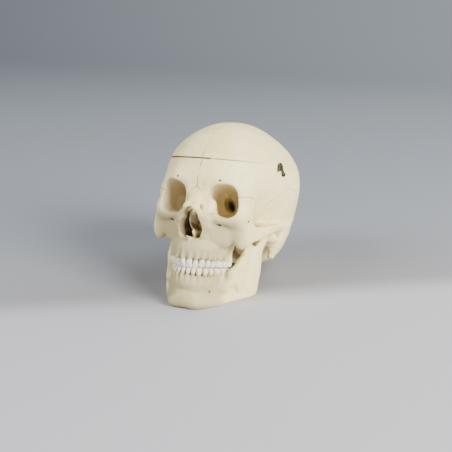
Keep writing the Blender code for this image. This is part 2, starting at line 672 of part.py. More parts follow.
def hook_mesh(cap_pin, side_pin):
    """The brass hook: an eye round the lower pin, an arm, an open hook over the upper pin and a thumb tab."""
    (upper, upper_out), (lower, lower_out) = cap_pin, side_pin
    out = (upper_out + lower_out).normalized()
    top, foot = upper + HOOK_LIFT * upper_out, lower + HOOK_LIFT * lower_out
    up = (top - foot).normalized()
    side = out.cross(up).normalized()
    clay = Clay(np.minimum(top, foot) - 11, np.maximum(top, foot) + 11, HOOK_CELL)
    clay.add(disc(foot, 2.7, 0.5, out), 0)
    clay.add(disc(top, 3.1, 0.5, out), 0)
    clay.add(strap([foot + 1.0 * up, top - 1.0 * up], 1.3, 0.5, tuple(side), 1), 0.6)
    tab = [top, top - 4.5 * side - 1.5 * up, top - 7.5 * side - 2.5 * up]
    clay.add(strap(tab, [1.5, 1.2, 1.4], 0.5, tuple(up), 2), 0.8)
    clay.cut(disc(foot, 1.25, 3, lower_out), 0)
    clay.cut(disc(top, 1.3, 3, upper_out), 0)
    clay.cut(strap([top, top + 4 * side + 1.5 * up], 1.25, 3, tuple(up), 1), 0)
    return clay.mesh("hook", mirrored=False)


def lathe(profile, place, out, segments):
    """A turned pin: the profile is rows of distance along its axis and radius."""
    turn = Vector(out).to_track_quat("Z", "Y").to_matrix().to_4x4()
    bm = bmesh.new()
    rings = []
    for along, radius in profile:
        ring = []
        for k in range(segments):
            angle = 2 * math.pi * k / segments
            local = Vector((radius * math.cos(angle), radius * math.sin(angle), along))
            ring.append(bm.verts.new(Vector(place) + turn @ local))
        rings.append(ring)
    for a, b in zip(rings, rings[1:]):
        for k in range(segments):
            bm.faces.new((a[k], a[(k + 1) % segments], b[(k + 1) % segments], b[k]))
    bm.faces.new(rings[0][::-1])
    bm.faces.new(rings[-1])
    bmesh.ops.recalc_face_normals(bm, faces=bm.faces)
    mesh = bpy.data.meshes.new("pin")
    bm.to_mesh(mesh)
    bm.free()
    return mesh


def material(name, colour, roughness, metallic):
    """A plain material for the solids."""
    made = bpy.data.materials.new(name)
    made.use_nodes = True
    shader = made.node_tree.nodes["Principled BSDF"]
    shader.inputs["Base Color"].default_value = (*colour, 1)
    shader.inputs["Roughness"].default_value = roughness
    shader.inputs["Metallic"].default_value = metallic
    return made


def main():
    """Builds the skull in a collection of its own."""
    for obj in list(bpy.data.objects):
        bpy.data.objects.remove(obj)
    collection = bpy.data.collections.new("human_skull")
    helpers = bpy.data.collections.new("teeth_to_join")
    helpers.hide_render = True
    bpy.context.scene.collection.children.link(collection)
    bpy.context.scene.collection.children.link(helpers)

    clay = skull_clay()
    skull = new_object("cranium", clay.mesh("cranium"), collection)
    settled(skull, tooth_row("upper", UPPER_ARCH, UPPER_TEETH, -1), helpers, CRANIUM_TRIANGLES)
    cap = new_object("skull_cap", skull.data.copy(), collection)
    sawn(cap.data, cut_plane(0), True)
    sawn(skull.data, cut_plane(SAW_GAP), False)
    jaw = new_object("mandible", jaw_clay(clay).mesh("mandible"), collection)
    settled(jaw, tooth_row("lower", LOWER_ARCH, LOWER_TEETH, 1), helpers, JAW_TRIANGLES)

    cap_pin, side_pin = clay.side_at(*CAP_PIN), clay.side_at(*SIDE_PIN)
    brass = {
        "cap_pin": lathe(PIN_PROFILE, *cap_pin, PIN_SIDES),
        "side_pin": lathe(PIN_PROFILE, *side_pin, PIN_SIDES),
        "hook": hook_mesh(cap_pin, side_pin),
    }
    fittings = []
    for name, left in brass.items():
        right = left.copy()
        right.transform(Matrix.Scale(-1, 4, (1, 0, 0)))
        right.flip_normals()
        for side, mesh in (("left", left), ("right", right)):
            fitting = new_object(f"{name}_{side}", mesh, collection)
            if name == "hook":
                settled(fitting, [], helpers, HOOK_TRIANGLES)
            fittings.append(fitting)

    for obj in (skull, cap, jaw, *fittings):
        on_ground(obj.data)
        metal = obj in fittings
        look = (BRASS, 0.35, 1.0) if metal else (BONE, 0.55, 0.0)
        obj.data.materials.append(material(f"{obj.name}_finish", *look))
    bpy.data.collections.remove(helpers)


if __name__ == "__main__":
    main()
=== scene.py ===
"""A life-size teaching skull on a plain table: bone, teeth, a saw cut and two brass hooks.

The forms are laid down in an anatomical frame, in millimetres: x to the skull's left, y to the
back and z up, with the origin midway between the ear openings. Each finished piece is then leant
back and set on the ground, in metres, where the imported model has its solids.
"""

import logging
import math
from dataclasses import dataclass
from enum import Enum
from typing import Callable, Sequence, Union

import bmesh
import bpy
import numpy as np
import openvdb
from mathutils import Euler, Matrix, Vector


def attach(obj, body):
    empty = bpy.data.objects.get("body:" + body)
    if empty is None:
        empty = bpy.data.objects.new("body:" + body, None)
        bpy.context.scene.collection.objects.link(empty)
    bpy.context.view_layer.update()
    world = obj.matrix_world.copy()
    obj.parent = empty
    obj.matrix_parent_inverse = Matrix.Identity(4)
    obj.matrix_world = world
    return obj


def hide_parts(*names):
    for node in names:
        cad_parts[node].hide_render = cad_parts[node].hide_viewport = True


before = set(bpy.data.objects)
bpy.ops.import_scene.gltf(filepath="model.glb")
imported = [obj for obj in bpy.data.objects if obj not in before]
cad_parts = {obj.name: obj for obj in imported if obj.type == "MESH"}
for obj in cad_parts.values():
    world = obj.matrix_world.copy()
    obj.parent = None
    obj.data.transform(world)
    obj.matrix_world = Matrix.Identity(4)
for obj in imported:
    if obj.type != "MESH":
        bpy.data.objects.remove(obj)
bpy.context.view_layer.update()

LOG = logging.getLogger("skull")
MM = 0.001
EMPTY = 40.0  # the distance that fills a block of clay before anything is laid down
REACH = 14.0  # how far round its box a form can change the clay
TINY = 1e-3  # keeps a division away from zero
SEAM_DEPTH = 0.22  # how deep the seams are cut, in millimetres
REST_TILT = math.radians(21.5)
FLOOR = -61.6  # the ground's height, in millimetres, once the skull is leant back
MIDDLE = -6.7  # the y, in millimetres, that comes to stand at the ground's origin
YAW = math.radians(23.916)  # the camera's turn about the upright, to the skull's left
SAW_POINT = (0.0, -94.0, 58.6)  # a point on the saw cut
SAW_SLOPE = (0.03, 0.09)  # how much the cut rises to the left and to the back

Array = np.ndarray
Distance = Callable[[Array, Array, Array], Array]
Mesh = bpy.types.Mesh
Material = bpy.types.Material
Point = Sequence[float]
Sizes = Union[float, Sequence[float]]
Colour = tuple[float, float, float]


def to_ground() -> Matrix:
    """Takes anatomical millimetres to metres on the ground, leant back by the resting tilt."""
    lean = Matrix.Rotation(-REST_TILT, 4, "X")
    return Matrix.Scale(MM, 4) @ Matrix.Translation((0, -MIDDLE, -FLOOR)) @ lean


# Forms and clay


@dataclass
class Form:
    """One simple form in the clay: the box that holds it and its distance function."""

    low: Array
    high: Array
    distance: Distance


def blend_min(a: Array, b: Array, width: float) -> Array:
    """The smaller of two distances, rounded over where they meet.

    Args:
        a: One distance.
        b: The other distance.
        width: How near to each other they are where the rounding starts.

    Returns:
        The blended distance.
    """
    if width <= 0:
        return np.minimum(a, b)
    near = np.maximum(width - np.abs(a - b), 0) / width
    return np.minimum(a, b) - near * near * width / 4


def egg_distance(local: Sequence[Array], sides: Sequence[Sizes], square: float) -> Array:
    """The distance to an ellipsoid, near its surface.

    Args:
        local: The sizes of the three coordinates, each as a share of the half size that way.
        sides: The half sizes, in millimetres.
        square: Its power: 2 for an ellipsoid, more for fuller corners.

    Returns:
        The signed distance, in millimetres.
    """
    whole = np.maximum(sum(a**square for a in local) ** (1 / square), TINY)
    slope = sum((a ** (square - 1) / r) ** 2 for a, r in zip(local, sides)) ** 0.5
    return (whole - 1) / np.maximum(slope * whole ** (1 - square), 0.1 * TINY)


def ball(centre: Point, radii: Point, turn: Point = (0, 0, 0), square: float = 2.0) -> Form:
    """An ellipsoid.

    Args:
        centre: Its middle, in millimetres.
        radii: Its half sizes along its own axes.
        turn: Its turn in degrees about x, y and z.
        square: Above 2 it fills out the corners.

    Returns:
        The form.
    """
    middle, half = np.array(centre, float), np.array(radii, float)
    axes = np.array(Euler([math.radians(a) for a in turn]).to_matrix())
    reach = np.abs(axes) @ half

    def distance(x: Array, y: Array, z: Array) -> Array:
        """The distance to the form.

        Args:
            x: The x of each place, which broadcasts with y and z.
            y: Its y.
            z: Its z.

        Returns:
            The signed distance there, in millimetres.
        """
        d = (x - middle[0], y - middle[1], z - middle[2])
        local = [
            np.abs(sum(axes[row][column] * d[row] for row in range(3))) / half[column]
            for column in range(3)
        ]
        return egg_distance(local, half, square)

    return Form(middle - reach, middle + reach, distance)


def smooth_path(points: Array, steps: int) -> Array:
    """Points along the smooth curve through the given rows.

    Args:
        points: One row for each given point. Further columns may hold its sizes.
        steps: How many rows stand for each stretch between two of them.

    Returns:
        The rows of the curve.
    """
    rows = np.array(points, float)
    padded = np.vstack([2 * rows[0] - rows[1], rows, 2 * rows[-1] - rows[-2]])
    out = []
    for i in range(len(rows) - 1):
        a, b, c, d = padded[i : i + 4]
        for t in np.arange(steps) / steps:
            square, cube = 2 * a - 5 * b + 4 * c - d, 3 * b - a - 3 * c + d
            out.append(0.5 * (2 * b + (c - a) * t + square * t**2 + cube * t**3))
    return np.array(out + [rows[-1]])


def strap(
    points: Sequence[Point], wide: Sizes, thick: Sizes, across: Point = (0, 0, 1), steps: int = 3
) -> Form:
    """A strap or rod along a smooth path, with an oval section.

    Args:
        points: The path.
        wide: Half size along across, one number or one for each point.
        thick: Half size the other way.
        across: The direction in which it is wide.
        steps: How many straight runs stand for each stretch of the path.

    Returns:
        The form.
    """
    places = np.array(points, float)
    sizes = [np.broadcast_to(np.array(s, float), len(places)) for s in (wide, thick)]
    path = smooth_path(np.column_stack([places, *sizes]), steps)
    direction = np.array(across, float)
    most = path[:, 3:].max()

    def distance(x: Array, y: Array, z: Array) -> Array:
        """The distance to the form.

        Args:
            x: The x of each place, which broadcasts with y and z.
            y: Its y.
            z: Its z.

        Returns:
            The signed distance there, in millimetres.
        """
        best = None
        for a, b in zip(path[:-1], path[1:]):
            run = b[:3] - a[:3]
            length = run @ run
            d = (x - a[0], y - a[1], z - a[2])
            t = np.clip((d[0] * run[0] + d[1] * run[1] + d[2] * run[2]) / length, 0, 1)
            away = [d[i] - t * run[i] for i in range(3)]
            side = direction - run * (direction @ run) / length
            side = side / np.linalg.norm(side)
            u = away[0] * side[0] + away[1] * side[1] + away[2] * side[2]
            rest = np.maximum(away[0] ** 2 + away[1] ** 2 + away[2] ** 2 - u * u, 0)
            w = a[3] + t * (b[3] - a[3])
            h = a[4] + t * (b[4] - a[4])
            whole = np.sqrt((u / w) ** 2 + rest / h**2)
            slope = np.sqrt((u / w**2) ** 2 + rest / h**4)
            size = np.where(slope > 1e-5, whole / np.maximum(slope, 1e-5), np.minimum(w, h))
            found = size * (whole - 1)
            best = found if best is None else np.minimum(best, found)
        return best

    return Form(path[:, :3].min(0) - most, path[:, :3].max(0) + most, distance)


def rod(points: Sequence[Point], radius: Sizes) -> Form:
    """A strap with a round section, whose radius may change along it."""
    return strap(points, radius, radius)


def disc(centre: Point, radius: float, half_thickness: float, out: Point) -> Form:
    """A flat round plate.

    Args:
        centre: Its middle, in millimetres.
        radius: Its radius.
        half_thickness: Half its thickness.
        out: The way it faces, of length 1.

    Returns:
        The form.
    """
    middle, facing = np.array(centre, float), np.array(out, float)

    def distance(x: Array, y: Array, z: Array) -> Array:
        """The distance to the form.

        Args:
            x: The x of each place, which broadcasts with y and z.
            y: Its y.
            z: Its z.

        Returns:
            The signed distance there, in millimetres.
        """
        d = (x - middle[0], y - middle[1], z - middle[2])
        along = d[0] * facing[0] + d[1] * facing[1] + d[2] * facing[2]
        away = np.sqrt(np.maximum(d[0] ** 2 + d[1] ** 2 + d[2] ** 2 - along**2, 0))
        return np.maximum(away - radius, np.abs(along) - half_thickness)

    reach = radius + half_thickness
    return Form(middle - reach, middle + reach, distance)


class Clay:
    """A form as a signed distance on a grid, negative inside. It starts as the left half."""

    def __init__(self, low: Point, high: Point, cell: float) -> None:
        """Makes an empty block of clay.

        Args:
            low: The lowest corner, in millimetres.
            high: The highest corner.
            cell: The size of a grid cell.
        """
        self.cell = cell
        self.low = np.array(low, float)
        counts = np.ceil((np.array(high, float) - self.low) / cell).astype(int) + 1
        self.field = np.full(counts, EMPTY, np.float32)

    def patch(self, low: Point, high: Point, margin: float) -> tuple[tuple, list[Array]]:
        """The part of the grid about a box.

        Args:
            low: The box's lowest corner.
            high: Its highest corner.
            margin: How far round the box the part reaches.

        Returns:
            The slices of the grid, and the x, y and z there.
        """
        first = np.floor((np.array(low) - margin - self.low) / self.cell).astype(int)
        last = np.ceil((np.array(high) + margin - self.low) / self.cell).astype(int) + 1
        first = np.clip(first, 0, self.field.shape)
        last = np.clip(last, 0, self.field.shape)
        spots = []
        for axis in range(3):
            steps = self.low[axis] + self.cell * np.arange(first[axis], last[axis])
            shape = [-1 if k == axis else 1 for k in range(3)]
            spots.append(steps.astype(np.float32).reshape(shape))
        return tuple(slice(a, b) for a, b in zip(first, last)), spots

    def join(self, form: Form, blend: float, sign: int) -> None:
        """Joins a form to the clay, or to the space around it.

        Args:
            form: The form.
            blend: The width over which the join is rounded.
            sign: 1 for the clay and -1 for the space.
        """
        where, spots = self.patch(form.low, form.high, min(REACH, blend + 6 * self.cell))
        self.field[where] = sign * blend_min(sign * self.field[where], form.distance(*spots), blend)

    def add(self, form: Form, blend: float) -> None:
        """Lays a form on, its join filled out over blend."""
        self.join(form, blend, 1)

    def cut(self, form: Form, blend: float) -> None:
        """Carves a form out, its rim rounded over blend."""
        self.join(form, blend, -1)

    def swell(self, centre: Point, radius: float, height: float) -> None:
        """Raises or sinks the surface near a point.

        Args:
            centre: The point.
            radius: How far the change reaches.
            height: How far the surface rises. It sinks where this is negative.
        """
        where, (x, y, z) = self.patch(centre, centre, 3 * radius)
        away = (x - centre[0]) ** 2 + (y - centre[1]) ** 2 + (z - centre[2]) ** 2
        self.field[where] -= height * np.exp(-away / radius**2)

    def keep(self, distance: Distance) -> None:
        """Keeps only what lies inside a distance function of x, y and z."""
        where, spots = self.patch(self.low, self.low + self.cell * np.array(self.field.shape), 0)
        self.field[where] = np.maximum(self.field[where], distance(*spots))

    def keep_clear(self, other: "Clay", gap: float) -> None:
        """Takes away what comes too near to another clay.

        Args:
            other: The other clay.
            gap: The gap that is left between them.
        """
        away = other.field
        for axis, count in enumerate(self.field.shape):
            spots = (self.low[axis] - other.low[axis] + self.cell * np.arange(count)) / other.cell
            first = np.clip(np.floor(spots).astype(int), 0, other.field.shape[axis] - 2)
            part = np.clip(spots - first, 0, 1).reshape([-1 if k == axis else 1 for k in range(3)])
            away = np.take(away, first, axis) * (1 - part) + np.take(away, first + 1, axis) * part
        self.field = np.maximum(self.field, gap - away).astype(np.float32)

    def side_at(self, y: float, z: float) -> tuple[Vector, Vector]:
        """The outermost point of the left half's surface.

        Args:
            y: Where it is, front to back.
            z: How high it is.

        Returns:
            The point and the normal there.
        """

        def outermost(y: float, z: float) -> float:
            """The outermost x of the surface.

            Args:
                y: Where it is, front to back.
                z: How high it is.

            Returns:
                The x, worked out between the grid's points.
            """
            j, k = (y - self.low[1]) / self.cell, (z - self.low[2]) / self.cell
            row, column = int(j), int(k)
            u, v = j - row, k - column
            near = self.field[:, row : row + 2, column : column + 2]
            line = near @ np.array([1 - v, v]) @ np.array([1 - u, u])
            last = np.nonzero(line < 0)[0][-1]
            return self.low[0] + self.cell * (last + line[last] / (line[last] - line[last + 1]))

        slope = outermost(y - 1, z) - outermost(y + 1, z), outermost(y, z - 1) - outermost(y, z + 1)
        return Vector((outermost(y, z), y, z)), Vector((2, *slope)).normalized()

    def mirrored(self) -> "Clay":
        """The same clay with its right half added."""
        both = Clay((0, 0, 0), (1, 1, 1), self.cell)
        both.low = self.low - [self.cell * (self.field.shape[0] - 1), 0, 0]
        both.field = np.concatenate([self.field[:0:-1], self.field])
        return both

    def surface(self) -> tuple[Array, Array]:
        """The points and quads of the largest closed surface, in millimetres."""
        band = 3 * self.cell
        grid = openvdb.FloatGrid(band)
        grid.copyFromArray(np.clip(self.field, -band, band))
        points, _, quads = grid.convertToPolygons(isovalue=0.0, adaptivity=0.0)
        return largest_shell(points * self.cell + self.low, quads.astype(np.int64))

    def closeness(self, points: Array, radius: float, coarse: int) -> Array:
        """How far each point is closed in: the share of the space round it that is filled.

        Args:
            points: The points, in millimetres.
            radius: How far it looks.
            coarse: How many cells are taken as one, to save time.

        Returns:
            One share for each point: about half on a flat face, and more in a hollow.
        """
        step = self.cell * coarse
        filled = np.clip(0.5 - self.field[::coarse, ::coarse, ::coarse] / (2 * step), 0, 1)
        reach = max(1, round(radius / (2 * step)))
        for axis in range(3):
            for _ in range(2):
                pad = [(reach + 1, reach) if k == axis else (0, 0) for k in range(3)]
                run = np.cumsum(np.pad(filled, pad, mode="edge"), axis=axis, dtype=np.float64)
                count = filled.shape[axis]
                span = 2 * reach + 1
                summed = np.take(run, np.arange(span, span + count), axis)
                summed = summed - np.take(run, np.arange(count), axis)
                filled = (summed / span).astype(np.float32)
        spots = (points - self.low) / step
        first = np.clip(np.floor(spots).astype(int), 0, np.array(filled.shape) - 2)
        part = np.clip(spots - first, 0, 1)
        share = np.zeros(len(points))
        for corner in np.ndindex(2, 2, 2):
            weight = np.prod(np.where(corner, part, 1 - part), axis=1)
            share += weight * filled[tuple((first + corner).T)]
        return share


def largest_shell(points: Array, quads: Array) -> tuple[Array, Array]:
    """The largest connected surface, facing out.

    Args:
        points: The points of all the surfaces.
        quads: Their quads.

    Returns:
        The points and the quads of the one with the most quads.
    """
    label = np.arange(len(points))
    while True:
        least = label[quads].min(axis=1)
        new = label.copy()
        np.minimum.at(new, quads.ravel(), np.repeat(least, 4))
        new = new[new]
        if (new == label).all():
            break
        label = new
    names, counts = np.unique(label[quads[:, 0]], return_counts=True)
    quads = quads[label[quads[:, 0]] == names[counts.argmax()]]
    used, flat = np.unique(quads, return_inverse=True)
    points, quads = points[used], flat.reshape(-1, 4)
    a, b, c, d = (points[quads[:, i]] for i in range(4))
    volume = (np.cross(b - a, c - a) * a).sum() + (np.cross(c - a, d - a) * a).sum()
    return points, quads if volume > 0 else quads[:, ::-1]


# Meshes


def mesh_of(name: str, points: Array, faces: Sequence[Sequence[int]]) -> Mesh:
    """A smooth mesh.

    Args:
        name: Its name.
        points: Its points.
        faces: Its faces, which all have the same count of corners.

    Returns:
        The mesh.
    """
    faces = np.asarray(faces, np.int32)
    mesh = bpy.data.meshes.new(name)
    mesh.vertices.add(len(points))
    mesh.vertices.foreach_set("co", np.asarray(points, np.float32).ravel())
    mesh.loops.add(faces.size)
    mesh.loops.foreach_set("vertex_index", faces.ravel())
    mesh.polygons.add(len(faces))
    starts = np.arange(len(faces), dtype=np.int32) * faces.shape[1]
    mesh.polygons.foreach_set("loop_start", starts)
    mesh.update(calc_edges=True)
    mesh.validate()
    mesh.shade_smooth()
    return mesh


def triples(rows: Sequence, field: str) -> Array:
    """What a mesh's points or normals hold.

    Args:
        rows: The mesh's collection of them.
        field: The name of what is wanted.

    Returns:
        One row of three numbers for each.
    """
    flat = np.empty(len(rows) * 3, np.float32)
    rows.foreach_get(field, flat)
    return flat.reshape(-1, 3).astype(float)


def positions(mesh: Mesh) -> Array:
    """The places of a mesh's points."""
    return triples(mesh.vertices, "co")


def place_points(mesh: Mesh, points: Array) -> None:
    """Moves a mesh's points to new places."""
    mesh.vertices.foreach_set("co", points.astype(np.float32).ravel())
    mesh.update()


def note(mesh: Mesh, name: str, values: Array) -> None:
    """Keeps values with a mesh, for its material to read.

    Args:
        mesh: The mesh.
        name: The name under which they are kept.
        values: A number or a place for each point.
    """
    kind, field = ("FLOAT_VECTOR", "vector") if values.ndim == 2 else ("FLOAT", "value")
    attribute = mesh.attributes.new(name, kind, "POINT")
    attribute.data.foreach_set(field, values.astype(np.float32).ravel())


def sawn(mesh: Mesh, point: Vector, normal: Vector, above: bool) -> None:
    """Keeps the part of a mesh on one side of a plane, with the cut closed.

    Args:
        mesh: The mesh.
        point: A point on the plane.
        normal: The plane's normal.
        above: Whether the part on the normal's side is kept, and not the other.
    """
    bm = bmesh.new()
    bm.from_mesh(mesh)
    parts = bm.verts[:] + bm.edges[:] + bm.faces[:]
    plane = {"plane_co": point, "plane_no": normal, "dist": 0.1 * TINY}
    bmesh.ops.bisect_plane(bm, geom=parts, clear_inner=above, clear_outer=not above, **plane)
    open_edges = [edge for edge in bm.edges if edge.is_boundary]
    made = bmesh.ops.triangle_fill(bm, edges=open_edges, use_beauty=False, use_dissolve=False)
    for face in made["geom"]:
        if isinstance(face, bmesh.types.BMFace):
            face.smooth = False
    bmesh.ops.recalc_face_normals(bm, faces=bm.faces)
    bmesh.ops.split_edges(bm, edges=[edge for edge in open_edges if edge.is_valid])
    bm.to_mesh(mesh)
    bm.free()


def ring_quads(levels: int, sides: int) -> Array:
    """The quads of a tube.

    Args:
        levels: How many rings of points follow each other.
        sides: How many points a ring has.

    Returns:
        The four corners of each quad.
    """
    low = sides * np.arange(levels - 1)[:, None]
    here = low + np.arange(sides)
    after = low + (np.arange(sides) + 1) % sides
    return np.stack([here, after, after + sides, here + sides], axis=-1).reshape(-1, 4)


def ripple(points: Array, length: float, seed: int, waves: int = 14) -> Array:
    """A smooth random height for each point, between about -1 and 1.

    Args:
        points: The places, in millimetres.
        length: The usual distance from one hump to the next.
        seed: The start of the random draws.
        waves: How many plane waves are summed.

    Returns:
        One height for each point.
    """
    draws = np.random.default_rng(seed)
    out = np.zeros(len(points))
    for _ in range(waves):
        direction = draws.normal(size=3)
        direction *= 2 * math.pi / (length * draws.uniform(0.7, 1.5) * np.linalg.norm(direction))
        out += np.sin(points @ direction + draws.uniform(0, 2 * math.pi))
    usual_peak = 1.6 * math.sqrt(waves / 2)
    return out / usual_peak


# Shader maths


class Wire:
    """A number, a colour or a vector that flows through a material's nodes."""

    def __init__(self, graph: "Graph", socket: bpy.types.NodeSocket) -> None:
        """Wraps an output socket of a node in a graph."""
        self.graph = graph
        self.socket = socket

    def is_number(self) -> bool:
        """Whether this is a single number."""
        return self.socket.type not in ("RGBA", "VECTOR")

    def joined(self, operation: str, first: "Feed", second: "Feed") -> "Wire":
        """A Math node on numbers, or a Vector Math node on colours and vectors.

        Args:
            operation: The node's operation.
            first: Its first value.
            second: Its second value.

        Returns:
            The result.
        """
        both, settings = (first, second), {"operation": operation}
        plain = [isinstance(v, (int, float)) for v in both]
        if all(p or (isinstance(v, Wire) and v.is_number()) for v, p in zip(both, plain)):
            return self.graph.node("ShaderNodeMath", settings, {0: first, 1: second})
        spread = [(v, v, v) if p else v for v, p in zip(both, plain)]
        return self.graph.node("ShaderNodeVectorMath", settings, dict(enumerate(spread)))

    def __add__(self, other: "Feed") -> "Wire":
        """The sum."""
        return self.joined("ADD", self, other)

    __radd__ = __add__

    def __sub__(self, other: "Feed") -> "Wire":
        """This less the other."""
        return self.joined("SUBTRACT", self, other)

    def __rsub__(self, other: "Feed") -> "Wire":
        """The other less this."""
        return self.joined("SUBTRACT", other, self)

    def __mul__(self, other: "Feed") -> "Wire":
        """The product."""
        return self.joined("MULTIPLY", self, other)

    __rmul__ = __mul__

    def __abs__(self) -> "Wire":
        """The size of a number without its sign."""
        return self.graph.node("ShaderNodeMath", {"operation": "ABSOLUTE"}, {0: self})

    def sine(self) -> "Wire":
        """The sine of a number in radians."""
        return self.graph.node("ShaderNodeMath", {"operation": "SINE"}, {0: self})

    def larger(self, other: "Feed") -> "Wire":
        """The larger of two numbers."""
        return self.joined("MAXIMUM", self, other)

    def rise(self, low: float, high: float) -> "Wire":
        """A smooth rise from 0 to 1, or a fall where low is above high.

        Args:
            low: Where it is still 0.
            high: Where it is 1.

        Returns:
            The share.
        """
        first, last = (1.0, 0.0) if low > high else (0.0, 1.0)
        feeds = {"Value": self, "From Min": min(low, high), "From Max": max(low, high)}
        feeds |= {"To Min": first, "To Max": last}
        return self.graph.node("ShaderNodeMapRange", {"interpolation_type": "SMOOTHSTEP"}, feeds)

    def parts(self) -> tuple["Wire", "Wire", "Wire"]:
        """The three numbers of a vector."""
        split = self.graph.node("ShaderNodeSeparateXYZ", {}, {0: self}).socket.node
        return tuple(Wire(self.graph, split.outputs[i]) for i in range(3))


Feed = Union[Wire, float, tuple]
Field = Union[Array, Wire]


class Graph:
    """The nodes of one material."""

    def __init__(self, name: str) -> None:
        """Makes an empty material with its Principled shader.

        Args:
            name: The material's name.
        """
        self.material = bpy.data.materials.new(name)
        self.material.use_nodes = True
        self.nodes = self.material.node_tree.nodes
        self.links = self.material.node_tree.links
        self.shader = self.nodes["Principled BSDF"]

    def node(self, kind: str, settings: dict, feeds: dict, output: Union[int, str] = 0) -> Wire:
        """Adds a node.

        Args:
            kind: Its type.
            settings: Its own settings, which are set first.
            feeds: The values or wires of its sockets, by name or number.
            output: Which of its outputs is wanted.

        Returns:
            That output.
        """
        made = self.nodes.new(kind)
        for key, value in settings.items():
            setattr(made, key, value)
        for key, value in feeds.items():
            self.feed(made.inputs[key], value)
        return Wire(self, made.outputs[output])

    def feed(self, socket: bpy.types.NodeSocket, value: Feed) -> None:
        """Links a wire to a socket, or sets the socket to a value.

        Args:
            socket: The input socket.
            value: The wire, number, colour or vector.
        """
        if isinstance(value, Wire):
            self.links.new(value.socket, socket)
        elif isinstance(value, tuple) and socket.type == "RGBA":
            socket.default_value = (*value, 1.0)
        else:
            socket.default_value = value

    def mix(self, share: Feed, first: Feed, second: Feed) -> Wire:
        """A colour between two others, the second where the share is 1."""
        feeds = {0: share, 6: first, 7: second}
        return self.node("ShaderNodeMix", {"data_type": "RGBA"}, feeds, 2)

    def bump(self, height: Wire, strength: float, distance: float) -> Wire:
        """A normal bent by a height, whose unit is distance in metres."""
        feeds = {"Height": height, "Strength": strength, "Distance": distance}
        return self.node("ShaderNodeBump", {}, feeds)

    def noise(self, place: Wire, size: float, detail: float = 3.0, rough: float = 0.5) -> Wire:
        """Cloudy noise from 0 to 1 whose patches are about size across, in the unit of place."""
        feeds = {"Vector": place, "Scale": 1.0 / size, "Detail": detail, "Roughness": rough}
        return self.node("ShaderNodeTexNoise", {}, feeds, "Fac")

    def kept(self, name: str, output: str = "Fac") -> Wire:
        """What a mesh keeps for each point under a name."""
        return self.node("ShaderNodeAttribute", {"attribute_name": name}, {}, output)

    def dress(self, feeds: dict) -> Material:
        """Dresses the shader.

        Args:
            feeds: The values or wires of its sockets, by name.

        Returns:
            The material.
        """
        for name, value in feeds.items():
            self.feed(self.shader.inputs[name], value)
        return self.material


# The seams between the bones, as the same sums for points and for wires


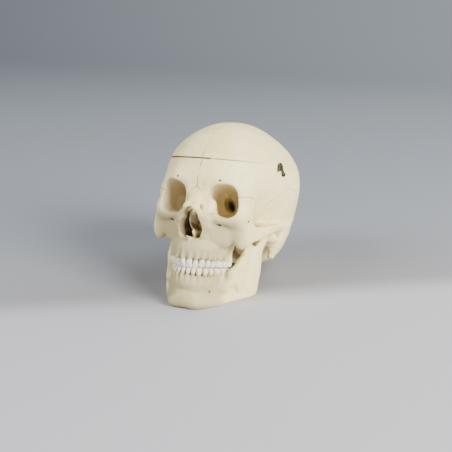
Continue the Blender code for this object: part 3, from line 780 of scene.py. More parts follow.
@dataclass(frozen=True)
class Seams:
    """Where the seams run, as a strength from 0 to 1 at any place in the anatomical frame.

    The place is numbers or wires, and width is half a seam's width. Each dash of the forehead's
    seam is given by its lowest and highest z, and its strength.
    """

    x: Field
    y: Field
    z: Field
    width: float
    dirt_height: float = 58.2
    dashes: Sequence[Point] = (
        (28.0, 40.0, 1.0),
        (40.0, 49.0, 0.12),
        (49.0, 57.0, 0.9),
        (60.0, 67.5, 0.8),
        (79.5, 82.5, 0.7),
        (86.0, 89.0, 0.7),
        (92.5, 98.0, 0.7),
        (98.0, 116.0, 0.25),
    )

    @staticmethod
    def rise(value: Field, low: float, high: float) -> Field:
        """A smooth rise from 0 to 1, or a fall where low is above high.

        Args:
            value: What it depends on, as numbers or as a wire.
            low: Where it is still 0.
            high: Where it is 1.

        Returns:
            The share.
        """
        if isinstance(value, Wire):
            return value.rise(low, high)
        share = np.clip((value - low) / (high - low), 0, 1)
        return share * share * (3 - 2 * share)

    @staticmethod
    def sine(value: Field) -> Field:
        """The sine."""
        return value.sine() if isinstance(value, Wire) else np.sin(value)

    def line(self, away: Field, width: float) -> Field:
        """1 on a line and 0 beyond its half width."""
        return self.rise(abs(away), width, 0.25 * width)

    def forehead(self) -> Field:
        """The seam up the middle of the forehead, broken into dashes, with its two arms below."""
        x, y, z, width = self.x, self.y, self.z, self.width
        bent = x + 0.3 + 0.35 * self.sine(z * 0.55) + 0.25 * self.sine(z * 1.7 + 1.0)
        dashes = 0.0
        for low, high, share in self.dashes:
            start, end = self.rise(z, low - 0.5, low + 0.5), self.rise(z, high + 0.5, high - 0.5)
            dashes = dashes + share * start * end
        up = self.line(bent, width) * dashes * self.rise(y, 2.0, -6.0)
        arm = z - 28.5 + 0.75 * abs(x) + 0.3 * self.sine(x * 2.1)
        arms = self.line(arm, width) * self.rise(abs(x), 7.5, 5.5) * self.rise(y, -70.0, -76.0)
        return up + 0.9 * arms

    def crown(self) -> Field:
        """The toothed seams over the crown and down the back of the head."""
        x, y, z, width = self.x, self.y, self.z, self.width
        side = abs(x)
        frill = 1.5 * self.sine(side * 1.25) + 0.9 * self.sine(side * 2.9 + 1.0)
        front = y + 6.0 + 0.42 * (116.0 - z) + 0.6 * frill
        across = self.line(front, width) * self.rise(z, 44.0, 50.0)
        weave = x + 1.4 * self.sine(y * 1.1) + 0.8 * self.sine(y * 2.7 + 0.5)
        along = self.line(weave, width) * self.rise(y, -6.0, -2.0) * self.rise(z, 56.0, 60.0)
        back = z - 57.0 + 0.83 * side + 1.3 * frill
        fork = self.line(back, width * 1.2) * self.rise(y, 36.0, 42.0)
        return 0.25 * across + 0.8 * along + 0.8 * fork

    def temple(self) -> Field:
        """The curved seam over each ear, and the short one where the cheekbone meets the brow."""
        x, y, z, width = self.x, self.y, self.z, self.width
        wavy = 0.8 * self.sine(y * 0.7) + 0.4 * self.sine(y * 1.9)
        arc = (y - 6.0) * (y - 6.0) * 0.013 + (z - 8.0) * (z - 8.0) * 0.013 - 19.0 + wavy * 0.8
        over = self.line(arc, width * 0.9) * self.rise(abs(x), 44.0, 50.0) * self.rise(z, 6.0, 12.0)
        brow = z - 23.0 - 0.25 * (abs(x) - 45.0) + 0.4 * self.sine(x * 2.4)
        joint = self.line(brow, width) * self.rise(abs(x), 41.0, 43.0) * self.rise(y, -58.0, -62.0)
        return 0.45 * over + 0.8 * joint

    def dirt(self) -> Wire:
        """The dirt on both lips of the saw cut, most over the right brow and none at the sides."""
        x, y, z = self.x, self.y, self.z
        off = z - self.dirt_height - SAW_SLOPE[1] * (y - SAW_POINT[1]) - SAW_SLOPE[0] * x
        share = 0.65 * x.rise(11.0, 8.5) + 0.35 * x.rise(58.0, 36.0)
        return self.line(off, 1.5) * share * y.rise(-30.0, -48.0)

    def strength(self) -> Field:
        """All the seams together."""
        return self.forehead() + self.crown() + self.temple()


# Finishes


@dataclass(frozen=True)
class BoneFinish:
    """Matt ivory plastic, ochre where it is closed in, with seams, fine grain, and painted light
    and shade.

    The mesh keeps how closed in each point is, over 14 mm as "hollow" and over 3 mm as "pit".
    """

    name: str
    light: Colour = (0.885, 0.76, 0.40)
    warm: Colour = (0.845, 0.695, 0.315)
    cool: Colour = (0.84, 0.755, 0.385)
    hollow: Colour = (0.68, 0.57, 0.36)
    # painted light: the paler stain for the lit depth of the right orbit and the left half of the
    # nose
    painted_light_hollow: Colour = (0.90, 0.79, 0.58)
    # painted shade: the brown of the right chamber of the nose
    brown: Colour = (0.21, 0.145, 0.06)
    # painted shade: near black in the depth of the left orbit's fissure
    painted_shade_black: Colour = (0.018, 0.009, 0.003)
    seam: Colour = (0.16, 0.11, 0.05)
    dirt: Colour = (0.10, 0.06, 0.02)
    seam_width: float = 0.75
    # painted shade: how much the middle of the face, which faces down, and the top of the cap are
    # darkened
    painted_face_shade: float = 0.46
    painted_cap_shade: float = 0.07
    roughness: float = 0.52
    seams: bool = True

    def clean(self, graph: Graph, place: Wire, mottle: Wire) -> Wire:
        """The colour of the clean plastic, with soft patches and specks, and painted shade on the
        middle of the face and the top of the cap.

        Args:
            graph: The material's nodes.
            place: The place in the anatomical frame.
            mottle: Noise with patches of middle size.

        Returns:
            The colour.
        """
        cloud = graph.noise(place, 26.0, 2.0)
        specks = graph.noise(place, 1.1, 2.0)
        colour = graph.mix(cloud.rise(0.35, 0.7), self.light, self.warm)
        colour = graph.mix(mottle.rise(0.45, 0.8) * 0.5, colour, self.cool)
        colour = colour * (0.96 + 0.08 * specks)
        x, y, z = place.parts()
        # painted shade: the middle of the face and the top of the cap are darkened for the light
        # that falls less on them
        shaded_face_middle = abs(x).rise(60.0, 42.0) * y.rise(-50.0, -62.0) * z.rise(8.0, -6.0)
        cap = z.rise(60.0, 68.0)
        return colour * (1.0 - self.painted_face_shade * shaded_face_middle) * (1.0 - self.painted_cap_shade * cap)

    def stained(self, graph: Graph, place: Wire, colour: Wire) -> Wire:
        """The colour with the stains of the orbits, the nose and the small pits, with painted shade
        and painted light in the orbits and the nose.

        Args:
            graph: The material's nodes.
            place: The place in the anatomical frame.
            colour: The colour of the clean plastic.

        Returns:
            The colour.
        """
        x, y, z = place.parts()
        hollow, pit = graph.kept("hollow"), graph.kept("pit")
        underside = y.rise(14.0, 26.0) * z.rise(-20.0, -28.0)  # less stained than the face
        closed = hollow * (1.0 - 0.35 * underside)
        septum = 0.18 * (z + 6.0).larger(0.0) + 0.62 * (-8.0 - z).larger(0.0) - 3.8
        right = (x - septum).rise(0.5, -0.5)  # the side of the bent septum that is brown
        painted_light_right_depth = x.rise(-18.0, -28.0) * y.rise(-59.0, -55.0) * z.rise(23.0, 18.0)
        # painted light: the depth of the right orbit and the left half of the nose get a paler
        # stain, for the light that falls there
        painted_light_share = painted_light_right_depth + (1.0 - right) * x.rise(16.0, 13.0) * x.rise(-18.0, -14.0)
        share = closed.rise(0.58, 0.70) * (0.85 - 0.4 * painted_light_share + 0.4 * painted_light_right_depth)
        colour = graph.mix(share, colour, graph.mix(painted_light_share, self.hollow, self.painted_light_hollow))
        # painted shade: the right chamber of the nose is darkened to brown where it is closed in
        chamber = abs(x).rise(17.0, 15.0) * right * z.rise(9.0, 6.0) * z.rise(-28.0, -25.0)
        colour = graph.mix(chamber * closed.rise(0.52, 0.64) * 0.8, colour, self.brown)
        # painted shade: the depth of the left orbit's fissure is painted near black
        fissure = closed.rise(0.79, 0.9) * y.rise(-68.0, -56.0) * x.rise(-26.0, -16.0)
        colour = graph.mix(fissure, colour, self.painted_shade_black)
        return graph.mix(pit.rise(0.62, 0.88) * 0.45, colour, self.hollow)

    def make(self) -> Material:
        """Builds the material."""
        graph = Graph(self.name)
        place = graph.kept("place", "Vector")
        mottle = graph.noise(place, 5.5, 4.0, 0.6)
        colour = self.stained(graph, place, self.clean(graph, place, mottle))
        grain = graph.noise(place, 0.5, 3.0)
        pores = graph.noise(place, 1.6, 3.0).rise(0.62, 0.75)
        height = 0.35 * grain + 0.6 * mottle - 0.5 * pores
        if self.seams:
            x, y, z = place.parts()
            seams = Seams(x, y, z, self.seam_width)
            seam = seams.strength()
            colour = graph.mix(seam * 0.8, colour, self.seam)
            colour = graph.mix(seams.dirt() * 0.85, colour, self.dirt)
            height = height - 1.2 * seam
        return graph.dress(
            {
                "Base Color": colour,
                "Roughness": self.roughness + 0.12 * mottle - 0.06,
                "Normal": graph.bump(height, strength=0.22, distance=0.0004),
                "IOR": 1.46,
                "Subsurface Weight": 0.08,
                "Subsurface Radius": (1.0, 0.7, 0.45),
                "Subsurface Scale": 0.002,
            }
        )


@dataclass(frozen=True)
class EnamelFinish:
    """Satin white cast teeth, a little darker at the neck and between the cusps."""

    name: str
    body: Colour = (0.80, 0.755, 0.62)
    neck: Colour = (0.66, 0.58, 0.42)
    roughness: float = 0.3

    def make(self) -> Material:
        """Builds the material."""
        graph = Graph(self.name)
        place = graph.kept("place", "Vector")
        rise = graph.kept("crown")
        cloud = graph.noise(place, 2.4, 3.0)
        streaks = graph.noise(place * (1.0, 1.0, 0.25), 0.7, 2.0)
        colour = graph.mix(rise.rise(0.32, 0.0) * 0.8, self.body, self.neck)
        colour = graph.mix(graph.kept("fissure").rise(0.2, 1.0) * 0.6, colour, self.neck)
        colour = colour * (0.95 + 0.06 * cloud + 0.04 * streaks)
        return graph.dress(
            {
                "Base Color": colour,
                "Roughness": self.roughness + 0.12 * cloud,
                "Normal": graph.bump(0.5 * streaks + cloud, strength=0.12, distance=0.0003),
                "IOR": 1.5,
                "Subsurface Weight": 0.1,
                "Subsurface Radius": (1.0, 0.8, 0.6),
                "Subsurface Scale": 0.0015,
            }
        )


@dataclass(frozen=True)
class BrassFinish:
    """Brass that has dulled to olive brown, brighter where hands have rubbed it."""

    name: str
    rubbed: Colour = (0.22, 0.185, 0.08)
    dull: Colour = (0.035, 0.03, 0.012)

    def make(self) -> Material:
        """Builds the material."""
        graph = Graph(self.name)
        place = graph.kept("place", "Vector")
        cloud = graph.noise(place, 1.6, 4.0, 0.6)
        scratches = graph.noise(place * (3.0, 1.0, 1.0), 0.5, 3.0)
        worn = cloud.rise(0.46, 0.7)
        return graph.dress(
            {
                "Base Color": graph.mix(worn, self.dull, self.rubbed),
                "Metallic": 0.55 + 0.4 * worn,
                "Roughness": 0.5 - 0.2 * worn + 0.1 * scratches,
                "Normal": graph.bump(scratches, strength=0.25, distance=0.0001),
            }
        )


@dataclass(frozen=True)
class TableFinish:
    """Pale matt paper on the table, and a greyer backdrop behind its soft far edge, with a slightly
    darker band of painted shade at the backdrop's foot.

    The edge lies that far behind the origin, as the camera sees it, and slants by that much.
    """

    name: str
    yaw: float = YAW
    edge: float = -0.064
    slant: float = 0.176
    table: Colour = (0.41, 0.405, 0.43)
    # painted shade: the backdrop's foot, a little darker than the backdrop above it
    foot: Colour = (0.245, 0.245, 0.255)
    back: Colour = (0.24, 0.255, 0.28)
    top: Colour = (0.26, 0.285, 0.31)

    def make(self) -> Material:
        """Builds the material."""
        graph = Graph(self.name)
        place = graph.node("ShaderNodeTexCoord", {}, {}, "Object")
        x, y, _ = place.parts()
        away = math.cos(self.yaw) * y - math.sin(self.yaw) * x
        across = math.cos(self.yaw) * x + math.sin(self.yaw) * y
        past = away - self.edge - self.slant * across
        fibre = graph.noise(place, 0.004, 3.0)
        # painted shade at the foot of the backdrop, just behind the edge
        colour = graph.mix(past.rise(0.02, 0.28), self.foot, self.back)
        colour = graph.mix(past.rise(0.5, 1.3), colour, self.top)
        colour = graph.mix(past.rise(0.035, -0.03), colour, self.table)
        return graph.dress(
            {
                "Base Color": colour * (0.985 + 0.03 * fibre),
                "Roughness": 0.8,
                "Normal": graph.bump(fibre, strength=0.05, distance=0.0005),
            }
        )


# Pieces


class Slot(Enum):
    """The record's material slots."""

    BONE = "bone"
    JAW = "jaw_bone"
    TEETH = "teeth"
    BRASS = "brass"


def finished(
    name: str, mesh: Mesh, material: Material, slot: Slot, stands_for: Sequence[str] = ()
) -> bpy.types.Object:
    """Leans a mesh into place as a piece of the model.

    Args:
        name: The piece's name.
        mesh: Its mesh, in anatomical millimetres.
        material: Its finish.
        slot: The record's slot for that finish. It is not used.
        stands_for: The CAD nodes that it replaces.

    Returns:
        The piece.
    """
    note(mesh, "place", positions(mesh))
    mesh.transform(to_ground())
    points = positions(mesh)
    points[:, 2] = np.maximum(points[:, 2], 0)
    place_points(mesh, points)
    mesh.materials.append(material)
    piece = bpy.data.objects.new(name, mesh)
    bpy.context.scene.collection.objects.link(piece)
    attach(piece, "root")
    if stands_for:
        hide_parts(*stands_for)
    LOG.info("%s: %d faces", name, len(mesh.polygons))
    return piece


def above_floor(x: Array, y: Array, z: Array) -> Array:
    """The distance below the ground that the leant skull stands on, positive under it."""
    return FLOOR - (z * math.cos(REST_TILT) - y * math.sin(REST_TILT)) + 0 * x


@dataclass(frozen=True)
class Arch:
    """A dental arch: half an ellipse in front that runs on almost straight behind.

    Behind y = back, closing is how much it narrows for each millimetre.
    """

    half_width: float
    depth: float
    back: float
    closing: float = 0.12

    def place(self, along: float) -> tuple[tuple[float, float], tuple[float, float]]:
        """Where the arch is.

        Args:
            along: The distance along it from the middle.

        Returns:
            The x and y there, and the way it faces, of length 1.
        """
        turns = np.linspace(0, math.pi / 2, 200)
        x, y = self.half_width * np.sin(turns), self.back - self.depth * np.cos(turns)
        run = np.concatenate([[0], np.cumsum(np.hypot(np.diff(x), np.diff(y)))])
        if along <= run[-1]:
            turn = np.interp(along, run, turns)
            spot = (self.half_width * math.sin(turn), self.back - self.depth * math.cos(turn))
            facing = (math.sin(turn) / self.half_width, -math.cos(turn) / self.depth)
        else:
            over = along - run[-1]
            spot = (self.half_width - self.closing * over, self.back + over)
            facing = (1.0, 0.1)
        size = math.hypot(*facing)
        return spot, (facing[0] / size, facing[1] / size)

    def points(self, runs: Sequence[float], heights: Sequence[float]) -> list[Point]:
        """Points on the arch at those distances from the middle, at those heights."""
        return [(*self.place(run)[0], height) for run, height in zip(runs, heights)]


class Kind(Enum):
    """The kinds of teeth."""

    INCISOR = 0
    CANINE = 1
    PREMOLAR = 2
    MOLAR = 3


@dataclass(frozen=True)
class Tooth:
    """One tooth: its sizes, and the shares of them that are left at its neck and its edge."""

    kind: Kind
    width: float
    depth: float
    height: float
    neck: float
    edge: float

    def sections(self, gap: float, root: float) -> Array:
        """The tooth's sections, from the sunk root to the edge.

        Args:
            gap: The gap that is left to the next tooth.
            root: How far the root is sunk into the jaw.

        Returns:
            Rows of height above the neck, half width and half depth.
        """
        half_width, half_depth = (self.width - gap) / 2, self.depth / 2
        return np.array(
            [
                (-root, self.neck * half_width * 0.85, self.neck * half_depth * 0.9),
                (0.0, self.neck * half_width, 0.84 * half_depth),
                (0.35 * self.height, 0.87 * half_width, half_depth),
                (0.72 * self.height, half_width, (0.45 + 0.55 * self.edge) * half_depth),
                (0.93 * self.height, 0.98 * half_width, self.edge * half_depth),
                (self.height, 0.88 * half_width, 0.72 * self.edge * half_depth),
            ]
        )

    def bite(self, u: Array, v: Array) -> Array:
        """How far the biting face lies under the tip.

        Args:
            u: Places across the face, from -1 to 1.
            v: Places along it, from -1 to 1.

        Returns:
            The depth at each place.
        """
        if self.kind is Kind.INCISOR:
            return 0.25 * np.abs(u) ** 3
        if self.kind is Kind.CANINE:
            return 1.1 * np.abs(u) ** 1.3
        if self.kind is Kind.PREMOLAR:
            return 0.5 * u**2 + 1.1 * np.exp(-((v / 0.28) ** 2))
        cross = np.maximum(np.exp(-((u / 0.2) ** 2)), np.exp(-((v / 0.22) ** 2)))
        return cross + 0.3 * (u**2 + v**2)


@dataclass
class ToothRow:
    """The teeth of one jaw, both sides, as one piece. The way is 1 if they point up, or -1."""

    name: str
    arch: Arch
    teeth: Sequence[Tooth]
    way: int
    seed: int
    overbite: Sequence[float] = (1.0, 0.9, 0.1, -0.3, -0.3, -0.3, -0.3, -0.3)
    gap: float = 0.3
    root: float = 3.5
    ring: int = 32
    jitter: float = 0.12
    roundness: float = 0.82
    front_bite: float = -54.6
    bite_front: float = -91
    bite_rise: float = 0.12

    def bite_height(self, y: float) -> float:
        """The height where upper and lower teeth meet, which rises towards the back."""
        return self.front_bite + self.bite_rise * (y - self.bite_front)

    def spots(self) -> list[tuple[Tooth, tuple[float, float], tuple[float, float], float]]:
        """Each tooth of the left side with its place, the way it faces, and its tip's height."""
        out, run = [], 0.0
        for tooth, overbite in zip(self.teeth, self.overbite):
            spot, facing = self.arch.place(run + tooth.width / 2)
            run += tooth.width
            out.append((tooth, spot, facing, self.bite_height(spot[1]) + self.way * overbite))
        return out

    def crown(self, tooth: Tooth) -> tuple[Array, Array, Array]:
        """One tooth in its own frame.

        Args:
            tooth: The tooth.

        Returns:
            Its points as rings of (across, out, height), and the crown share and fissure at each.
        """
        rows = smooth_path(tooth.sections(self.gap, self.root), 4)
        turns = 2 * math.pi * np.arange(self.ring) / self.ring
        u, v = (np.sign(a) * np.abs(a) ** self.roundness for a in (np.cos(turns), np.sin(turns)))
        rings, share, cleft = [], [], []
        for height, half_width, half_depth in rows:
            up = np.clip(height / tooth.height, 0, 1)
            belly = 0.06 * tooth.depth * np.sin(math.pi * up) * (v > 0)
            lean = -0.10 * tooth.depth * (1 - tooth.edge) * up
            drop = tooth.bite(u, v) * up**6 * (0.6 if tooth.kind is Kind.CANINE else 0.35)
            out = v * half_depth + belly + lean
            rings.append(np.column_stack([u * half_width, out, height - drop]))
            share.append(np.full(self.ring, up))
            cleft.append(np.zeros(self.ring))
        top = rings[-1]
        middle = top.mean(axis=0)
        for inward in (0.8, 0.6, 0.4, 0.2, 0.02):
            around = middle + (top - middle) * inward
            bite = tooth.bite(u * inward, v * inward)
            around[:, 2] = tooth.height - bite * (0.5 + 0.5 * (1 - inward))
            rings.append(around)
            share.append(np.ones(self.ring))
            cleft.append(bite * (0.9 if tooth.kind in (Kind.PREMOLAR, Kind.MOLAR) else 0.0))
        return np.array(rings), np.array(share), np.array(cleft)

    def build(self) -> Mesh:
        """The mesh of the whole row, in anatomical millimetres."""
        draws = np.random.default_rng(self.seed)
        points, quads, shares, clefts = [], [], [], []
        start = 0
        for tooth, spot, facing, tip in self.spots():
            rings, share, cleft = self.crown(tooth)
            across_by, out_by, up = rings.reshape(-1, 3).T
            for side in (1, -1):
                out = Vector((side * facing[0], facing[1]))
                turned = Matrix.Rotation(math.radians(draws.uniform(-2.5, 2.5)), 2) @ out
                shift = draws.uniform(-self.jitter, self.jitter, 2)
                x = side * spot[0] + shift[0] + across_by * -turned.y + out_by * turned.x
                y = spot[1] + shift[1] + across_by * turned.x + out_by * turned.y
                tilt = 0.03 * draws.uniform(-1, 1) * across_by
                z = tip - self.way * (tooth.height - up + tilt * (up > 0))
                points.append(np.column_stack([x, y, z]))
                shares.append(share.ravel())
                clefts.append(cleft.ravel())
                quads.append(start + ring_quads(len(rings), self.ring)[:, :: self.way])
                start += len(up)
        mesh = mesh_of(self.name, np.concatenate(points), np.concatenate(quads))
        bm = bmesh.new()
        bm.from_mesh(mesh)
        bmesh.ops.holes_fill(bm, edges=[e for e in bm.edges if e.is_boundary], sides=0)
        bmesh.ops.recalc_face_normals(bm, faces=bm.faces)
        bm.to_mesh(mesh)
        bm.free()
        mesh.shade_smooth()
        note(mesh, "crown", np.concatenate(shares))
        note(mesh, "fissure", np.concatenate(clefts))
        return mesh

    def ribs(self, clay: Clay, steps: Sequence[Point], thick: Sequence[float]) -> None:
        """Lays the low ribs over the roots of the left side.

        Args:
            clay: The clay of the jaw.
            steps: For each end of a rib, how far out of the arch it is and how far past the gum.
            thick: The half thickness of each end.
        """
        for tooth, spot, facing, tip in self.spots():
            (x, y), (out_x, out_y), gum = spot, facing, tip - self.way * tooth.height
            path = [(x + out_x * d, y + out_y * d, gum - self.way * past) for d, past in steps]
            wide = 0.7 * tooth.neck * tooth.width / 2
            clay.add(strap(path, [wide, wide * 0.5], thick, (-out_y, out_x, 0)), 3)


UPPER_TEETH = (
    Tooth(Kind.INCISOR, 6.8, 6.6, 9.8, 0.64, 0.30),
    Tooth(Kind.INCISOR, 5.8, 5.8, 9.2, 0.62, 0.32),
    Tooth(Kind.CANINE, 6.8, 7.4, 9.6, 0.62, 0.40),
    Tooth(Kind.PREMOLAR, 5.9, 8.4, 8.4, 0.62, 0.72),
    Tooth(Kind.PREMOLAR, 5.6, 8.4, 8.0, 0.64, 0.76),
    Tooth(Kind.MOLAR, 9.6, 10.2, 7.6, 0.76, 0.84),
    Tooth(Kind.MOLAR, 9.2, 10.0, 7.0, 0.74, 0.84),
    Tooth(Kind.MOLAR, 8.6, 9.0, 6.0, 0.74, 0.82),
)
LOWER_TEETH = (
    Tooth(Kind.INCISOR, 5.0, 5.8, 9.4, 0.60, 0.30),
    Tooth(Kind.INCISOR, 5.4, 6.0, 9.4, 0.60, 0.32),
    Tooth(Kind.CANINE, 6.4, 7.0, 9.8, 0.62, 0.40),
    Tooth(Kind.PREMOLAR, 6.4, 7.4, 8.6, 0.64, 0.70),
    Tooth(Kind.PREMOLAR, 6.6, 7.8, 8.0, 0.64, 0.74),
    Tooth(Kind.MOLAR, 10.0, 9.6, 7.2, 0.78, 0.84),
    Tooth(Kind.MOLAR, 9.4, 9.4, 6.8, 0.78, 0.84),
    Tooth(Kind.MOLAR, 9.0, 9.0, 6.2, 0.78, 0.82),
)
UPPER_ROW = ToothRow("upper_teeth", Arch(28.0, 44.5, -44.5), UPPER_TEETH, -1, 11)
LOWER_ROW = ToothRow("lower_teeth", Arch(25.0, 40.6, -46.0), LOWER_TEETH, 1, 12)


@dataclass
class Cranium:
    """The skull without its jaw, and the cap that is sawn off it.

    The saw cut shows as wide as cut_widths says at each of cut_turns, in degrees from the middle of
    the forehead round an upright axis at the y of turn_centre.
    """

    cell: float
    vault_centre: Point = (0, -2, 44)
    vault_radii: Point = (71, 88.5, 69.5)
    vault_square: float = 2.15
    box: tuple[Point, Point] = ((0, -106, -52), (76, 94, 124))
    saw_gap: float = 0.85
    cut_turns: Sequence[float] = (-60, -30, 4.2, 5.4, 6.8, 8.5, 22, 42, 60)
    cut_widths: Sequence[float] = (0.1, 0.7, 0.8, 0.2, 0.2, 0.5, 0.42, 0.08, 0.02)
    turn_centre: float = 10
    least_gap: float = 0.04
    settled_band: float = 2.5

    def vault(self) -> Form:
        """The egg of the braincase, narrower in front, and flatter below in front than behind."""
        centre = np.array(self.vault_centre, float)
        radii, square = self.vault_radii, self.vault_square

        def distance(x: Array, y: Array, z: Array) -> Array:
            """The distance to the form.

            Args:
                x: The x of each place, which broadcasts with y and z.
                y: Its y.
                z: Its z.

            Returns:
                The signed distance there, in millimetres.
            """
            narrow = 0.965 + 0.06 * np.tanh(y / 30)
            above = radii[2] + 4 * np.tanh(y / 40)
            depth = np.where(z > centre[2], above, 68 + 12 * np.tanh((y - 15) / 20))
            sides = (radii[0] * narrow, radii[1], depth)
            off = (x, y - centre[1], z - centre[2])
            return egg_distance([np.abs(v) / side for v, side in zip(off, sides)], sides, square)

        reach = np.array([74, 90, 85])
        return Form(centre - reach, centre + reach, distance)

    def braincase(self, clay: Clay) -> None:
        """The vault, the back of the head and the underside behind the palate.

        Args:
            clay: The clay that it shapes.
        """
        clay.add(self.vault(), 0)
        clay.add(ball((0, 47, 14), (54, 41, 42)), 22)  # the back of the head
        clay.add(ball((0, 47, -12), (47, 34, 31)), 16)  # the nape below it
        clay.add(ball((47, 12, 4), (15, 30, 22)), 12)  # the side over the ear
        clay.swell((40, -74, 58), 24, 3.0)  # the corner of the forehead
        clay.swell((40, 22, 104), 34, -4.4)  # flatter sides of the crown
        clay.swell((58, 56, 16), 28, -2.8)  # flatter behind the ear
        clay.swell((34, -42, 94), 22, -1.3)  # flatter above the forehead
        clay.swell((0, 79, -12), 11, 2.5)  # the knob at the back
        # the line of the neck muscles
        clay.add(rod([(0, 77, -12), (22, 73, -9), (42, 59, -4), (54, 40, 1)], 2.0), 8)

    def skull_base(self, clay: Clay) -> None:
        """The sphenoid body, the clivus, the petrous bones, condyles and the great opening.

        Args:
            clay: The clay that it shapes.
        """
        clay.add(ball((0, -38, 4), (18, 26, 18)), 10)  # the body of the sphenoid
        clivus = [(0, -34, -6), (0, -16, -13), (0, -3, -19)]
        clay.add(strap(clivus, [13, 12, 12], [7, 6, 5], (1, 0, 0)), 6)
        clay.add(rod([(50, 6, -9), (36, -2, -12), (21, -12, -14)], 8), 6)  # the petrous bone
        clay.add(ball((20, 8, -27), (6, 11.5, 6.5), (0, 0, -28)), 5)  # the condyle
        clay.cut(ball((0, 16, -28), (15, 18, 34), square=2.4), 3)  # the great opening
        # the crest behind it
        clay.add(strap([(2, 38, -42), (2, 55, -36), (2, 70, -22)], 0.9, 1.2), 3)

    def base_openings(self, clay: Clay) -> None:
        """The holes for vessels and nerves on the underside.

        Args:
            clay: The clay that it shapes.
        """
        clay.cut(ball((29, 4, -20), (5.5, 3.6, 7), (0, 0, 30)), 1.5)  # the vein's opening
        clay.cut(ball((27, -8, -20), (3, 3, 7)), 1)  # the artery's
        clay.cut(ball((24, -24, -14), (3.4, 2.2, 8), (0, 0, 25)), 1)  # the oval opening
        clay.cut(ball((29, -17, -14), (1.4, 1.4, 7)), 0.6)  # the small one beside it
        clay.cut(ball((22, 22, -24), (3.4, 3.4, 5)), 1)  # the hollow behind the condyle
        clay.cut(ball((47, 12, -17), (1.4, 1.4, 6)), 0.6)  # the opening beside the mastoid

    def temporal_fossa(self, clay: Clay) -> None:
        """The hollow of the temple, behind the orbit and under the cheek arch.

        Args:
            clay: The clay that it shapes.
        """
        clay.cut(ball((69, -41, -4), (19.5, 24, 38), (0, 0, -12)), 15)  # the temple
        clay.cut(ball((44, -34, -32), (28, 19, 26)), 8)  # the space inside the jaw

    def ear_region(self, clay: Clay) -> None:
        """The mastoid process, ear opening, jaw socket and the roots of the cheek arch.

        Args:
            clay: The clay that it shapes.
        """
        mastoid = [(55, 17, 2), (54.5, 15, -12), (52, 12, -29)]
        clay.add(strap(mastoid, [14, 12, 5], [9, 8, 4], (0, 1, 0)), 8)
        # the crest over the ear
        clay.add(strap([(60, -8, 2), (62, 6, 4.5), (62, 22, 9), (58, 38, 16)], 2.6, 2.2), 6)
        clay.add(ball((53, -1, -10), (9, 5.5, 6)), 3)  # the plate under the ear opening
        # the hump before the jaw's joint
        clay.add(ball((53, -25, -2), (11, 5, 5.5), (0, 0, -15)), 5)
        clay.cut(ball((51, -13, -4), (12, 7.5, 7), (0, 0, -18)), 2)  # the socket of the jaw's joint
        clay.cut(ball((58, 1.5, -5), (16, 4.0, 5.2)), 1.5)  # the ear opening
        clay.cut(rod([(46, 28, -22), (45, 8, -26)], 3.0), 4)  # the groove inside the mastoid
        # the styloid process
        clay.add(rod([(42, 1, -14), (40, -5, -26), (38, -9, -36)], [2.6, 2.0, 1.1]), 3)

    def brow_and_orbit_rims(self, clay: Clay) -> None:
        """The brow, the rims of the orbits and the bone between them.

        Args:
            clay: The clay that it shapes.
        """
        clay.add(ball((0, -68, 20), (19, 20, 30), square=2.5), 8)  # between the orbits
        # the block that the orbit is cut into
        clay.add(ball((28, -64, 17), (23, 20, 25), (0, 0, 18), 2.5), 8)
        brow = [(3, -86, 37), (14, -86.5, 39), (26, -84.5, 41), (36, -79, 41)]
        clay.add(strap(brow, [5, 5, 5, 4], 3.5), 10)
        inner_rim = [(9, -85, 27), (13.5, -86, 33.5), (25, -85.5, 36.5)]
        outer_rim = [(35.5, -81.5, 35.5), (42.5, -76, 30), (45.3, -71, 23)]
        clay.add(strap(inner_rim + outer_rim, 3.4, 4.0), 7)
        process = [(46, -68, 26), (46.2, -66, 16), (47, -66.5, 4), (48, -68, -5)]
        clay.add(strap(process, [8, 10.5, 10.5, 9], 3.2, (0.48, 0.88, 0)), 6)
        ridge = [(47.5, -66, 30), (47, -63, 40), (48, -58, 50)]
        clay.add(strap(ridge, [2.6, 2.4, 1.0], [2.4, 2.2, 1.0]), 10)

    def cheek(self, clay: Clay) -> None:
        """The cheekbone, its arch and the crest down to the molars.

        Args:
            clay: The clay that it shapes.
        """
        clay.add(ball((46, -65, -10), (12, 7.5, 12.5), (0, 0, 34)), 7)  # the cheekbone
        under = [(18, -84, 2), (26, -83, -2.5), (35, -80.5, -3.5), (43, -76, 0), (48, -71, 7)]
        clay.add(strap(under, 3.8, 4), 9)
        clay.add(ball((48, -64, -20), (8.5, 5.5, 9.2), (0, 14, 30)), 5)  # its lower corner
        crest = [(45, -63, -19), (36.5, -61.5, -18.5), (29.5, -60.5, -24), (27.5, -60, -34)]
        clay.add(strap(crest, [5.5, 4.6, 4.2, 4.2], [4, 3.6, 3.6, 4]), 3)
        front_arch = [(51, -64, -12), (58, -56.5, -11.5), (63, -45, -7)]
        rear_arch = [(66, -31, -2.4), (65, -16, 0), (61, -3, 1.5)]
        arch_sizes = [9.5, 7.5, 5.4, 4.4, 4.2, 4.2], [3.6, 2.8, 2.5, 2.4, 2.8, 3.5]
        clay.add(strap(front_arch + rear_arch, *arch_sizes), 5)

    def upper_jaw(self, clay: Clay) -> None:
        """The upper jaw with the bridge of the nose, the palate and the plates behind it.

        Args:
            clay: The clay that it shapes.
        """
